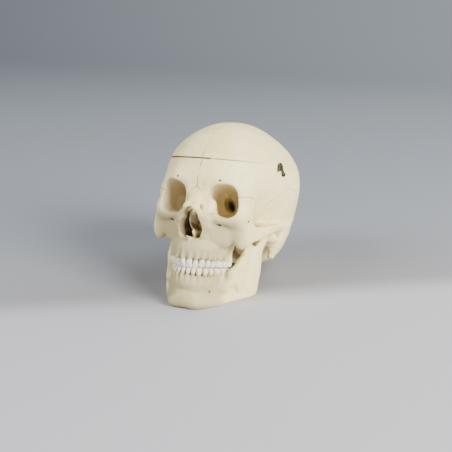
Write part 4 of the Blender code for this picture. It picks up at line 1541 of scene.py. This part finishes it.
        # the body of the upper jaw
        clay.add(ball((21, -68, -12), (19, 16, 20), (0, 0, 24), 2.6), 8)
        self.cheek(clay)
        beside_nose = [(9, -84, 26), (11, -86, 12), (13, -87.5, 0), (16.5, -86, -12)]
        clay.add(strap(beside_nose, [5, 5.5, 6, 6], 4, (1, -1, 0)), 6)
        upper_wall = [(4.5, -97, 6), (8.5, -94, 1), (12.5, -90.5, -7)]
        lower_wall = [(12.5, -90.5, -7), (14.5, -88.5, -14), (14, -87, -22)]
        for wall in (upper_wall, lower_wall):
            clay.add(strap(wall, 3.5, 2.2, (1, 1, 0)), 5)
        nose_bones = [(0, -84, 29), (0, -88, 21), (0, -93, 13), (0, -98.3, 6.5)]
        clay.add(strap(nose_bones, [6.5, 6.5, 7, 7.5], [5, 4, 3.4, 2.4], (1, 0, 0)), 6)
        clay.add(ball((24, -53, -23), (10.5, 10, 10.5), (0, 0, 10)), 5)  # behind the last molar
        clay.add(ball((27.5, -45.5, -23), (5, 4.5, 5)), 2)  # the knob there
        outer_plate = [(22, -50, -16), (24, -40, -22), (24.5, -36, -31)]
        inner_plate = [(13, -44, -16), (13, -38, -24), (13, -36, -31)]
        clay.add(strap(outer_plate, [8, 7, 4], [2.4, 2, 1.6], (0.4, 1, 0)), 3)
        clay.add(strap(inner_plate, [6, 5, 3], [1.8, 1.6, 1.3], (0, 1, 0)), 2)
        clay.add(ball((0, -66, -34), (25, 26, 6), square=2.5), 5)  # the palate
        rows = UPPER_ROW.arch.points([0, 8, 16, 25, 35, 50], [-35.4, -35.2, -34.8, -34, -33.2, -32])
        clay.add(strap(rows, [10.5, 10.5, 10.5, 10.5, 10, 9], [4.4, 4.4, 4.2, 4.2, 4.4, 4.6]), 5)
        # the spine under the nose
        clay.add(rod([(0, -86, -27), (0, -92, -25.5), (0, -96.5, -24)], [2.6, 1.8, 0.8]), 4)
        clay.swell((28, -81, -16), 11, -2.8)  # the hollow beside the canine's root

    @staticmethod
    def orbit_cone() -> Form:
        """The left orbit, which narrows back towards the midline."""
        return ball((28.2, -83, 16.2), (15.8, 46, 17.2), (0, -13, 15), 2.8)

    @staticmethod
    def nose_openings() -> Sequence[Form]:
        """The left half of the pear-shaped opening of the nose, wide below and narrow above."""
        return (
            ball((6, -86, -14.2), (6.8, 26, 9.8)),
            ball((0, -92, -4), (8.0, 24, 9)),
            ball((0, -94, 0.5), (4.2, 22, 6.4)),
        )

    def orbits(self, clay: Clay) -> None:
        """The orbits, with their fissures and the ducts beside the nose.

        Args:
            clay: The clay that it shapes.
        """
        clay.cut(ball((20.5, -89, 13.5), (7, 12, 11), (0, 20, 0)), 8)  # the inner corner
        clay.cut(self.orbit_cone(), 1.8)
        floor = [(10.5, -70, 13), (13.5, -71, 3), (19.5, -72, -2.5), (27, -71, -5.5)]
        clay.add(rod(floor, 4.6), 7)  # the floor and inner wall
        # the depth and the upper fissure
        clay.cut(ball((17.2, -40, 16.5), (5.4, 17, 8.6), (0, -28, 14)), 1.6)
        fissure = [(18, -44, 10), (25, -52, 5), (32, -62, 0.5)]
        clay.cut(strap(fissure, [3.2, 3, 1.6], [4, 3.4, 2]), 1.2)
        clay.cut(ball((13, -44, 18), (2.4, 8, 2.4)), 0.8)  # the nerve's canal
        duct = [(13.5, -82.5, 12), (14, -81, 5), (15, -76, -4)]
        clay.cut(strap(duct, [2.2, 2.4, 2], [1.6, 2, 2]), 1.2)

    def nose(self, clay: Clay) -> None:
        """The opening of the nose and its chamber, with the two shelves on each outer wall.

        Args:
            clay: The clay that it shapes.
        """
        for opening in self.nose_openings():
            clay.cut(opening, 1.2)
        clay.cut(ball((8, -62, -9), (6.5, 21, 15), square=2.4), 2)  # the chamber
        clay.cut(ball((7.5, -42, -19), (5, 12, 9.5)), 2)  # its rear opening
        lower_shelf = [(12, -75, -17), (11, -66, -16), (11, -54, -16)]
        clay.add(strap(lower_shelf, [2.4, 4, 3], [1.2, 1.8, 1.5]), 1.5)
        upper_shelf = [(11.5, -72, -5), (10.5, -64, -4), (10.5, -54, -5)]
        clay.add(strap(upper_shelf, [2, 3, 2.4], [1.1, 1.5, 1.3]), 1.5)

    def septum(self, clay: Clay) -> None:
        """The thin wall in the middle of the nose, which is bent to one side, with its ragged edge.

        Args:
            clay: The clay that it shapes.
        """
        upper_edge = [(-2.2, -88, 4), (-4.2, -83, -6), (-2.6, -81, -13)]
        lower_edge = [(1.8, -82, -17.6), (3.2, -88, -21.5)]
        sizes = [4.6, 4.6, 4.4, 4.6, 4.6], [0.75, 0.65, 0.7, 0.8, 1.2]
        for back in (0, 8, 16, 24, 32):
            rows = [(x * (1 - back / 60), y + back, z) for x, y, z in upper_edge + lower_edge]
            clay.add(strap(rows, *sizes, (0, 1, 0)), 0.8)

    def foramina(self, clay: Clay) -> None:
        """The small nerve openings of the face.

        Args:
            clay: The clay that it shapes.
        """
        clay.cut(strap([(24.4, -93, 37.6), (24.0, -84, 35.6)], 1.0, 1.9), 0.5)  # above the orbit
        # below the orbit
        clay.cut(strap([(26.0, -88, -10.5), (27.6, -78, -6.5)], [1.2, 1.4], [2.8, 2.2]), 0.8)
        clay.swell((27.5, -83, -13.5), 3.2, 0.7)  # the lip of that one
        clay.cut(ball((51.2, -66, 0), (1.3, 5, 1.3), (0, 0, 40)), 0.5)  # in the cheekbone
        clay.cut(ball((46, -72.5, -3), (0.8, 3, 0.8), (0, 0, 30)), 0.4)

    def sculpt(self) -> Clay:
        """The left half of the whole cranium in clay."""
        clay = Clay(*self.box, self.cell)
        self.braincase(clay)
        self.skull_base(clay)
        self.temporal_fossa(clay)
        self.ear_region(clay)
        self.brow_and_orbit_rims(clay)
        self.upper_jaw(clay)
        UPPER_ROW.ribs(clay, ((3.4, 0), (2.6, 9)), (2.0, 1.0))
        self.orbits(clay)
        self.nose(clay)
        self.foramina(clay)
        self.base_openings(clay)
        clay.keep(above_floor)
        return clay

    def inside(self, points: Array) -> Array:
        """How far points lie in a cavity of the face.

        Args:
            points: The points, in millimetres.

        Returns:
            0 well outside the orbits and the nose, and 1 in them or on their walls.
        """
        x, y, z = np.abs(points[:, 0]), points[:, 1], points[:, 2]
        away = [form.distance(x, y, z) for form in (self.orbit_cone(), *self.nose_openings())]
        return Seams.rise(np.min(away, axis=0), 1.0, 0.25)

    def cut_plane(self, lower: float) -> tuple[Vector, Vector]:
        """A point on the saw cut, lowered by some millimetres, and its upward normal."""
        normal = Vector((-SAW_SLOPE[0], -SAW_SLOPE[1], 1)).normalized()
        return Vector(SAW_POINT) - Vector((0, 0, lower)), normal

    def settle_cap(self, mesh: Mesh) -> None:
        """Lets the cap's rim sit almost closed in places, so that the cut shows as a broken line.

        Args:
            mesh: The cap, in anatomical millimetres.
        """
        points = positions(mesh)
        point, normal = self.cut_plane(0)
        height = (points - np.array(point)) @ np.array(normal)
        turn = np.degrees(np.arctan2(points[:, 0], self.turn_centre - points[:, 1]))
        width = np.interp(turn, self.cut_turns, self.cut_widths) + 0.05 * np.sin(turn * 0.7)
        closed = self.saw_gap - np.maximum(width, self.least_gap)
        points[:, 2] -= closed * np.clip(1 - height / self.settled_band, 0, 1)
        place_points(mesh, points)

    def build(self, clay: Clay, finish: Material) -> None:
        """Turns the clay to the cranium and the cap, and dresses them.

        Args:
            clay: The left half of the whole cranium.
            finish: The finish of both.
        """
        whole = clay.mirrored()
        self.septum(whole)
        points, quads = whole.surface()
        mesh = mesh_of("cranium", points, quads)
        weathered(mesh, whole, 0.16, self.inside(points))
        cap = mesh.copy()
        sawn(cap, *self.cut_plane(0), True)
        sawn(mesh, *self.cut_plane(self.saw_gap), False)
        self.settle_cap(cap)
        finished("cranium_bone", mesh, finish, Slot.BONE, ["cranium"])
        finished("cap_bone", cap, finish, Slot.BONE, ["skull_cap"])


def weathered(mesh: Mesh, clay: Clay, relief: float, inside: Union[Array, float] = 0.0) -> None:
    """Gives a mesh its slight unevenness and its seams, and notes how closed in each point is.

    Args:
        mesh: The mesh, in anatomical millimetres.
        clay: The clay that it was made from.
        relief: The height of the unevenness.
        inside: The share by which each point lies in a cavity of the face, whatever is near it.
    """
    points, normals = positions(mesh), triples(mesh.vertex_normals, "vector")
    in_cavity = 0.45 + 0.26 * inside
    note(mesh, "hollow", np.maximum(clay.closeness(points, radius=14.0, coarse=2), in_cavity))
    note(mesh, "pit", clay.closeness(points, radius=3.0, coarse=1))
    seam = Seams(*points.T, width=0.9).strength()
    height = relief * (ripple(points, 16.0, 3) + 0.5 * ripple(points, 6.5, 5)) - SEAM_DEPTH * seam
    place_points(mesh, points + normals * height[:, None])


@dataclass
class Jaw:
    """The lower jaw: body, chin, rami with their two processes and the condyles."""

    cell: float
    box: tuple[Point, Point] = ((0, -104, -110), (68, 8, 12))
    gap: float = 0.8

    def body(self, clay: Clay) -> None:
        """The horseshoe of the jaw, its base and its chin.

        Args:
            clay: The clay that it shapes.
        """
        front_body = [(0, -80, -80), (8.5, -79, -80.5), (14.5, -73.5, -81.5), (22.5, -61, -81)]
        rear_body = [(31.5, -46.5, -77), (39, -33.5, -72), (45, -24, -67)]
        body_sizes = [14, 14, 13, 12.5, 13, 14, 15], [5.5, 5.5, 5.2, 5, 4.8, 4.6, 4]
        clay.add(strap(front_body + rear_body, *body_sizes), 0)
        front_base = [(0, -80.5, -91), (9.5, -79.3, -92), (16.5, -74, -91), (25, -62, -88.5)]
        rear_base = [(34.5, -45.5, -83.5), (43, -31, -77), (48.5, -20, -70.5)]
        base_sizes = [4.5, 4.5, 4.5, 4.5, 4.2, 4, 4.5], [4.6, 4.6, 4.4, 4.2, 3.8, 3.4, 3]
        clay.add(strap(front_base + rear_base, *base_sizes), 5)
        clay.add(ball((0, -82, -87), (10, 5, 7)), 6)  # the chin
        clay.add(ball((12, -80.5, -91), (6, 4.5, 4.5)), 5)  # its corner
        rows = LOWER_ROW.arch.points([0, 8, 16, 25, 35, 48], [-70, -70, -69.5, -68.5, -67, -65])
        clay.add(strap(rows, [7, 7, 7, 7, 7.5, 8], [4.2, 4.0, 3.8, 3.8, 4.2, 5.2]), 4)

    def ramus(self, clay: Clay) -> None:
        """The upright part of the jaw with its two processes and the condyle.

        Args:
            clay: The clay that it shapes.
        """
        front = [(39.5, -36, -68), (41.4, -34, -48), (42.6, -34.5, -28)]
        coronoid = [(44, -37, -12), (45.5, -41.5, -2)]
        front_sizes = [9, 9, 9, 7.2, 2.6], [4.2, 3.2, 2.8, 2.3, 1.8]
        clay.add(strap(front + coronoid, *front_sizes, (-0.2, 1, 0)), 4)
        rear = [(47.5, -23.5, -67), (47.4, -20.5, -48), (48.8, -18, -28)]
        neck = [(51.5, -14, -12), (52, -12.5, -6)]
        clay.add(strap(rear + neck, [9.5, 9, 8, 4.4, 4], [3.4, 3.2, 3.2, 4, 4], (0, 1, 0)), 4)
        # the plate between the edges
        clay.add(ball((45.5, -28, -50), (3.2, 16, 26), (0, 0, -22)), 6)
        clay.add(ball((51.5, -12.5, -4.6), (9.8, 4.6, 4.4), (0, 0, -18)), 3)  # the condyle
        # the inner end of the front edge
        clay.add(rod([(40, -42, -44), (35.2, -47, -60), (30.5, -56, -72)], [2.4, 2.4, 2.2]), 8)
        oblique_line = [(42, -36, -34), (40.5, -41.5, -42), (38.5, -47.5, -49), (35, -54, -56)]
        clay.add(strap(oblique_line, 2.4, 2.2), 5)
        clay.add(ball((32.5, -46, -59), (3.8, 9, 8), (0, 0, 12)), 6)  # beside the last molar
        clay.swell((52, -16, -66), 6, 0.6)  # the angle

    def foramina(self, clay: Clay) -> None:
        """The nerve openings of the chin and of the inner side of the ramus.

        Args:
            clay: The clay that it shapes.
        """
        clay.cut(ball((24.2, -74.5, -77.2), (1.8, 8, 1.7), (0, 0, 28)), 0.6)  # in the chin
        clay.cut(ball((42, -24, -42), (4, 2.2, 2.6), (0, 0, -20)), 1)  # in the ramus
        # the tongue beside that one
        clay.add(strap([(41.5, -28, -40), (41.8, -26.5, -44)], 1.0, 0.9), 1)
        clay.add(ball((3, -74.5, -86), (1.2, 1.4, 2)), 1)  # the spine inside the chin

    def sculpt(self, skull: Clay) -> Clay:
        """Shapes the left half of the jaw.

        Args:
            skull: The left half of the skull, from which it stays clear.

        Returns:
            The clay.
        """
        clay = Clay(*self.box, self.cell)
        self.body(clay)
        self.ramus(clay)
        LOWER_ROW.ribs(clay, ((3.0, 0), (2.2, 8)), (1.9, 1.0))
        self.foramina(clay)
        clay.keep_clear(skull, self.gap)
        clay.keep(above_floor)
        return clay

    def build(self, clay: Clay, finish: Material) -> None:
        """Turns the clay to the jaw and dresses it.

        Args:
            clay: The left half of the jaw.
            finish: Its finish.
        """
        whole = clay.mirrored()
        mesh = mesh_of("jaw", *whole.surface())
        weathered(mesh, whole, 0.14)
        finished("jaw_bone", mesh, finish, Slot.JAW, ["mandible"])


@dataclass
class Latch:
    """The brass hook at each temple, with its two pins.

    The pins' places are y and z. The curl's are to the front of the upper pin and above it. The
    pin's profile goes out from the bone, as height and radius.
    """

    cap_pin: tuple[float, float] = (-24.5, 66.0)
    side_pin: tuple[float, float] = (-19.5, 58.0)
    lift: float = 1.9
    cell: float = 0.22
    sides: int = 40
    margin: float = 13
    eye_radius: float = 2.5
    hole_radius: float = 1.2
    arm_widths: Sequence[float] = (1.8, 1.8, 1.7, 1.7, 1.8, 1.9, 2.0, 2.0)
    curl: Sequence[tuple[float, float]] = (
        (-0.6, -3.8),
        (-2.0, -1.4),
        (-1.8, 0.9),
        (0.3, 1.9),
        (2.4, 0.7),
        (4.0, -0.8),
        (5.8, -2.2),
    )
    pin_profile: Sequence[tuple[float, float]] = (
        (0.0, 0.02),
        (0.0, 1.9),
        (0.35, 1.95),
        (0.55, 1.75),
        (0.6, 0.9),
        (2.4, 0.9),
        (2.5, 1.8),
        (2.75, 2.0),
        (3.1, 1.8),
        (3.5, 1.1),
        (3.62, 0.5),
        (3.3, 0.3),
        (3.25, 0.02),
    )

    def pin(self, place: Vector, out: Vector) -> tuple[Array, Array]:
        """A turned pin with a domed, dimpled head and a washer at its foot.

        Args:
            place: Where it stands on the bone.
            out: The way it points.

        Returns:
            Its points and quads.
        """
        turn = np.array(out.to_track_quat("Z", "Y").to_matrix())
        angles = 2 * math.pi * np.arange(self.sides) / self.sides
        rings = [
            np.column_stack([r * np.cos(angles), r * np.sin(angles), np.full(self.sides, a)])
            for a, r in self.pin_profile
        ]
        points = np.concatenate(rings) @ turn.T + np.array(place)
        return points, ring_quads(len(rings), self.sides)

    def hook(self, cap_pin: tuple[Vector, Vector], side_pin: tuple[Vector, Vector]) -> Clay:
        """An eye round the lower pin, an arm that curls over the upper one, and a thumb tab.

        Args:
            cap_pin: The upper pin's place on the bone and the way it points.
            side_pin: The lower pin's.

        Returns:
            The hook in clay.
        """
        (upper, upper_out), (lower, lower_out) = cap_pin, side_pin
        out = (upper_out + lower_out).normalized()
        top, foot = upper + self.lift * upper_out, lower + self.lift * lower_out
        up = (top - foot).normalized()
        front = out.cross(up).normalized()
        low, high = np.minimum(top, foot) - self.margin, np.maximum(top, foot) + self.margin
        clay = Clay(low, high, self.cell)
        clay.add(disc(foot, self.eye_radius, 0.45, out), 0)
        path = [foot + self.hole_radius * up] + [top + f * front + u * up for f, u in self.curl]
        clay.add(strap(path, 0.95, self.arm_widths, tuple(out), 4), 0.5)
        clay.cut(disc(foot, self.hole_radius, 3, lower_out), 0.2)
        return clay

    def build(self, skull: Clay, finish: Material) -> None:
        """Makes both latches and dresses them.

        Args:
            skull: The left half of the skull, on whose side they sit.
            finish: Their finish.
        """
        cap_pin, side_pin = skull.side_at(*self.cap_pin), skull.side_at(*self.side_pin)
        parts = {
            "hook": self.hook(cap_pin, side_pin).surface(),
            "cap_pin": self.pin(*cap_pin),
            "side_pin": self.pin(*side_pin),
        }
        for name, (points, quads) in parts.items():
            for side, sign in (("left", 1), ("right", -1)):
                around = points * np.array([sign, 1, 1])
                mesh = mesh_of(f"{name}_{side}", around, quads if sign > 0 else quads[:, ::-1])
                finished(f"{name}_{side}_brass", mesh, finish, Slot.BRASS, [f"{name}_{side}"])


@dataclass
class Studio:
    """The camera, the paper that the skull stands on and the soft lights.

    The camera aims at a point in the anatomical frame, in millimetres, that comes to lie at the
    picture's centre, in pixels, and scale is the pixels to a millimetre there.
    """

    yaw: float = YAW
    rise: float = math.radians(-4.076)
    roll: float = math.radians(8.577)
    distance: float = 1044.1
    scale: float = 0.893
    centre: tuple[float, float] = (230.28, 205.34)
    aim: Point = (0, 0, 20)
    picture: int = 452
    sensor: float = 36.0
    lit_point: Point = (0, 0, 0.08)
    light_size: float = 1.2
    lights: Sequence[tuple[str, Point, float, Colour]] = (
        ("key", (2.1, -0.8, 1.15), 165.0, (1.0, 0.985, 0.96)),
        ("fill", (-1.3, -1.6, 1.7), 64.0, (0.98, 0.985, 1.0)),
        ("top", (0.8, 0.8, 1.6), 22.0, (0.98, 0.99, 1.0)),
    )
    sky: Colour = (0.80, 0.86, 0.95)
    sky_strength: float = 0.3

    def camera(self) -> None:
        """The camera of the photograph, placed in the anatomical frame and leant with the skull."""
        a, e, r = self.yaw, self.rise, self.roll
        back = Vector((math.sin(a) * math.cos(e), -math.cos(a) * math.cos(e), math.sin(e)))
        right = Vector((math.cos(a), math.sin(a), 0))
        up = back.cross(right)
        tilted_right = right * math.cos(r) + up * math.sin(r)
        tilted_up = up * math.cos(r) - right * math.sin(r)
        ground = to_ground()
        turn = ground.to_3x3().normalized() @ Matrix((tilted_right, tilted_up, back)).transposed()
        place = turn.to_4x4()
        place.translation = ground @ (Vector(self.aim) + back * self.distance)
        data = bpy.data.cameras.new("camera")
        data.sensor_width = self.sensor
        data.lens = self.sensor * self.scale * self.distance / self.picture
        data.shift_x = -(self.centre[0] - self.picture / 2) / self.picture
        data.shift_y = (self.centre[1] - self.picture / 2) / self.picture
        camera = bpy.data.objects.new("camera", data)
        camera.matrix_world = place
        bpy.context.scene.collection.objects.link(camera)
        bpy.context.scene.camera = camera

    def table(self) -> None:
        """Paper that lies flat under the skull and curves up far behind it."""
        front, flat_to, bend, half_width, top = -2.5, 1.6, 1.2, 4.0, 4.0
        profile = [(y, 0.0) for y in np.linspace(front, flat_to, 30)]
        for turn in np.linspace(0, math.pi / 2, 16)[1:]:
            profile.append((flat_to + bend * math.sin(turn), bend * (1 - math.cos(turn))))
        profile.append((flat_to + bend, top))
        points = [(x, y, z) for y, z in profile for x in (-half_width, half_width)]
        faces = [(2 * i, 2 * i + 1, 2 * i + 3, 2 * i + 2) for i in range(len(profile) - 1)]
        mesh = mesh_of("table", np.array(points), faces)
        mesh.materials.append(TableFinish("table_paper").make())
        table = bpy.data.objects.new("table", mesh)
        bpy.context.scene.collection.objects.link(table)

    def light(self, name: str, place: Point, power: float, colour: Colour) -> None:
        """A square soft light that looks at the skull.

        Args:
            name: Its name.
            place: Where it is, in metres.
            power: Its power, in watts.
            colour: Its colour.
        """
        data = bpy.data.lights.new(name, "AREA")
        data.size = self.light_size
        data.energy = power
        data.color = colour
        lamp = bpy.data.objects.new(name, data)
        lamp.location = place
        way = Vector(self.lit_point) - Vector(place)
        lamp.rotation_euler = way.to_track_quat("-Z", "Y").to_euler()
        bpy.context.scene.collection.objects.link(lamp)

    def build(self) -> None:
        """Sets the whole studio up."""
        self.camera()
        self.table()
        for light in self.lights:
            self.light(*light)
        world = bpy.data.worlds.new("room")
        bpy.context.scene.world = world
        world.use_nodes = True
        sky = world.node_tree.nodes["Background"]
        sky.inputs["Color"].default_value = (*self.sky, 1.0)
        sky.inputs["Strength"].default_value = self.sky_strength


def main() -> None:
    """Sets up the studio and builds the skull in it piece by piece."""
    logging.basicConfig(level=logging.INFO, format="%(name)s: %(message)s")
    cell = 0.7
    Studio().build()
    bone = BoneFinish("bone_plastic").make()
    jaw_finish = BoneFinish("jaw_plastic", seams=False).make()
    cranium, jaw = Cranium(cell), Jaw(cell)
    skull_clay = cranium.sculpt()
    jaw_clay = jaw.sculpt(skull_clay)
    cranium.build(skull_clay, bone)
    jaw.build(jaw_clay, jaw_finish)
    white = EnamelFinish("upper_enamel").make()
    ivory = EnamelFinish("lower_enamel", (0.72, 0.65, 0.47), (0.62, 0.52, 0.36), 0.42).make()
    finished("upper_teeth", UPPER_ROW.build(), white, Slot.TEETH)
    finished("lower_teeth", LOWER_ROW.build(), ivory, Slot.JAW)
    Latch().build(skull_clay, BrassFinish("dull_brass").make())


if __name__ == "__main__":
    main()
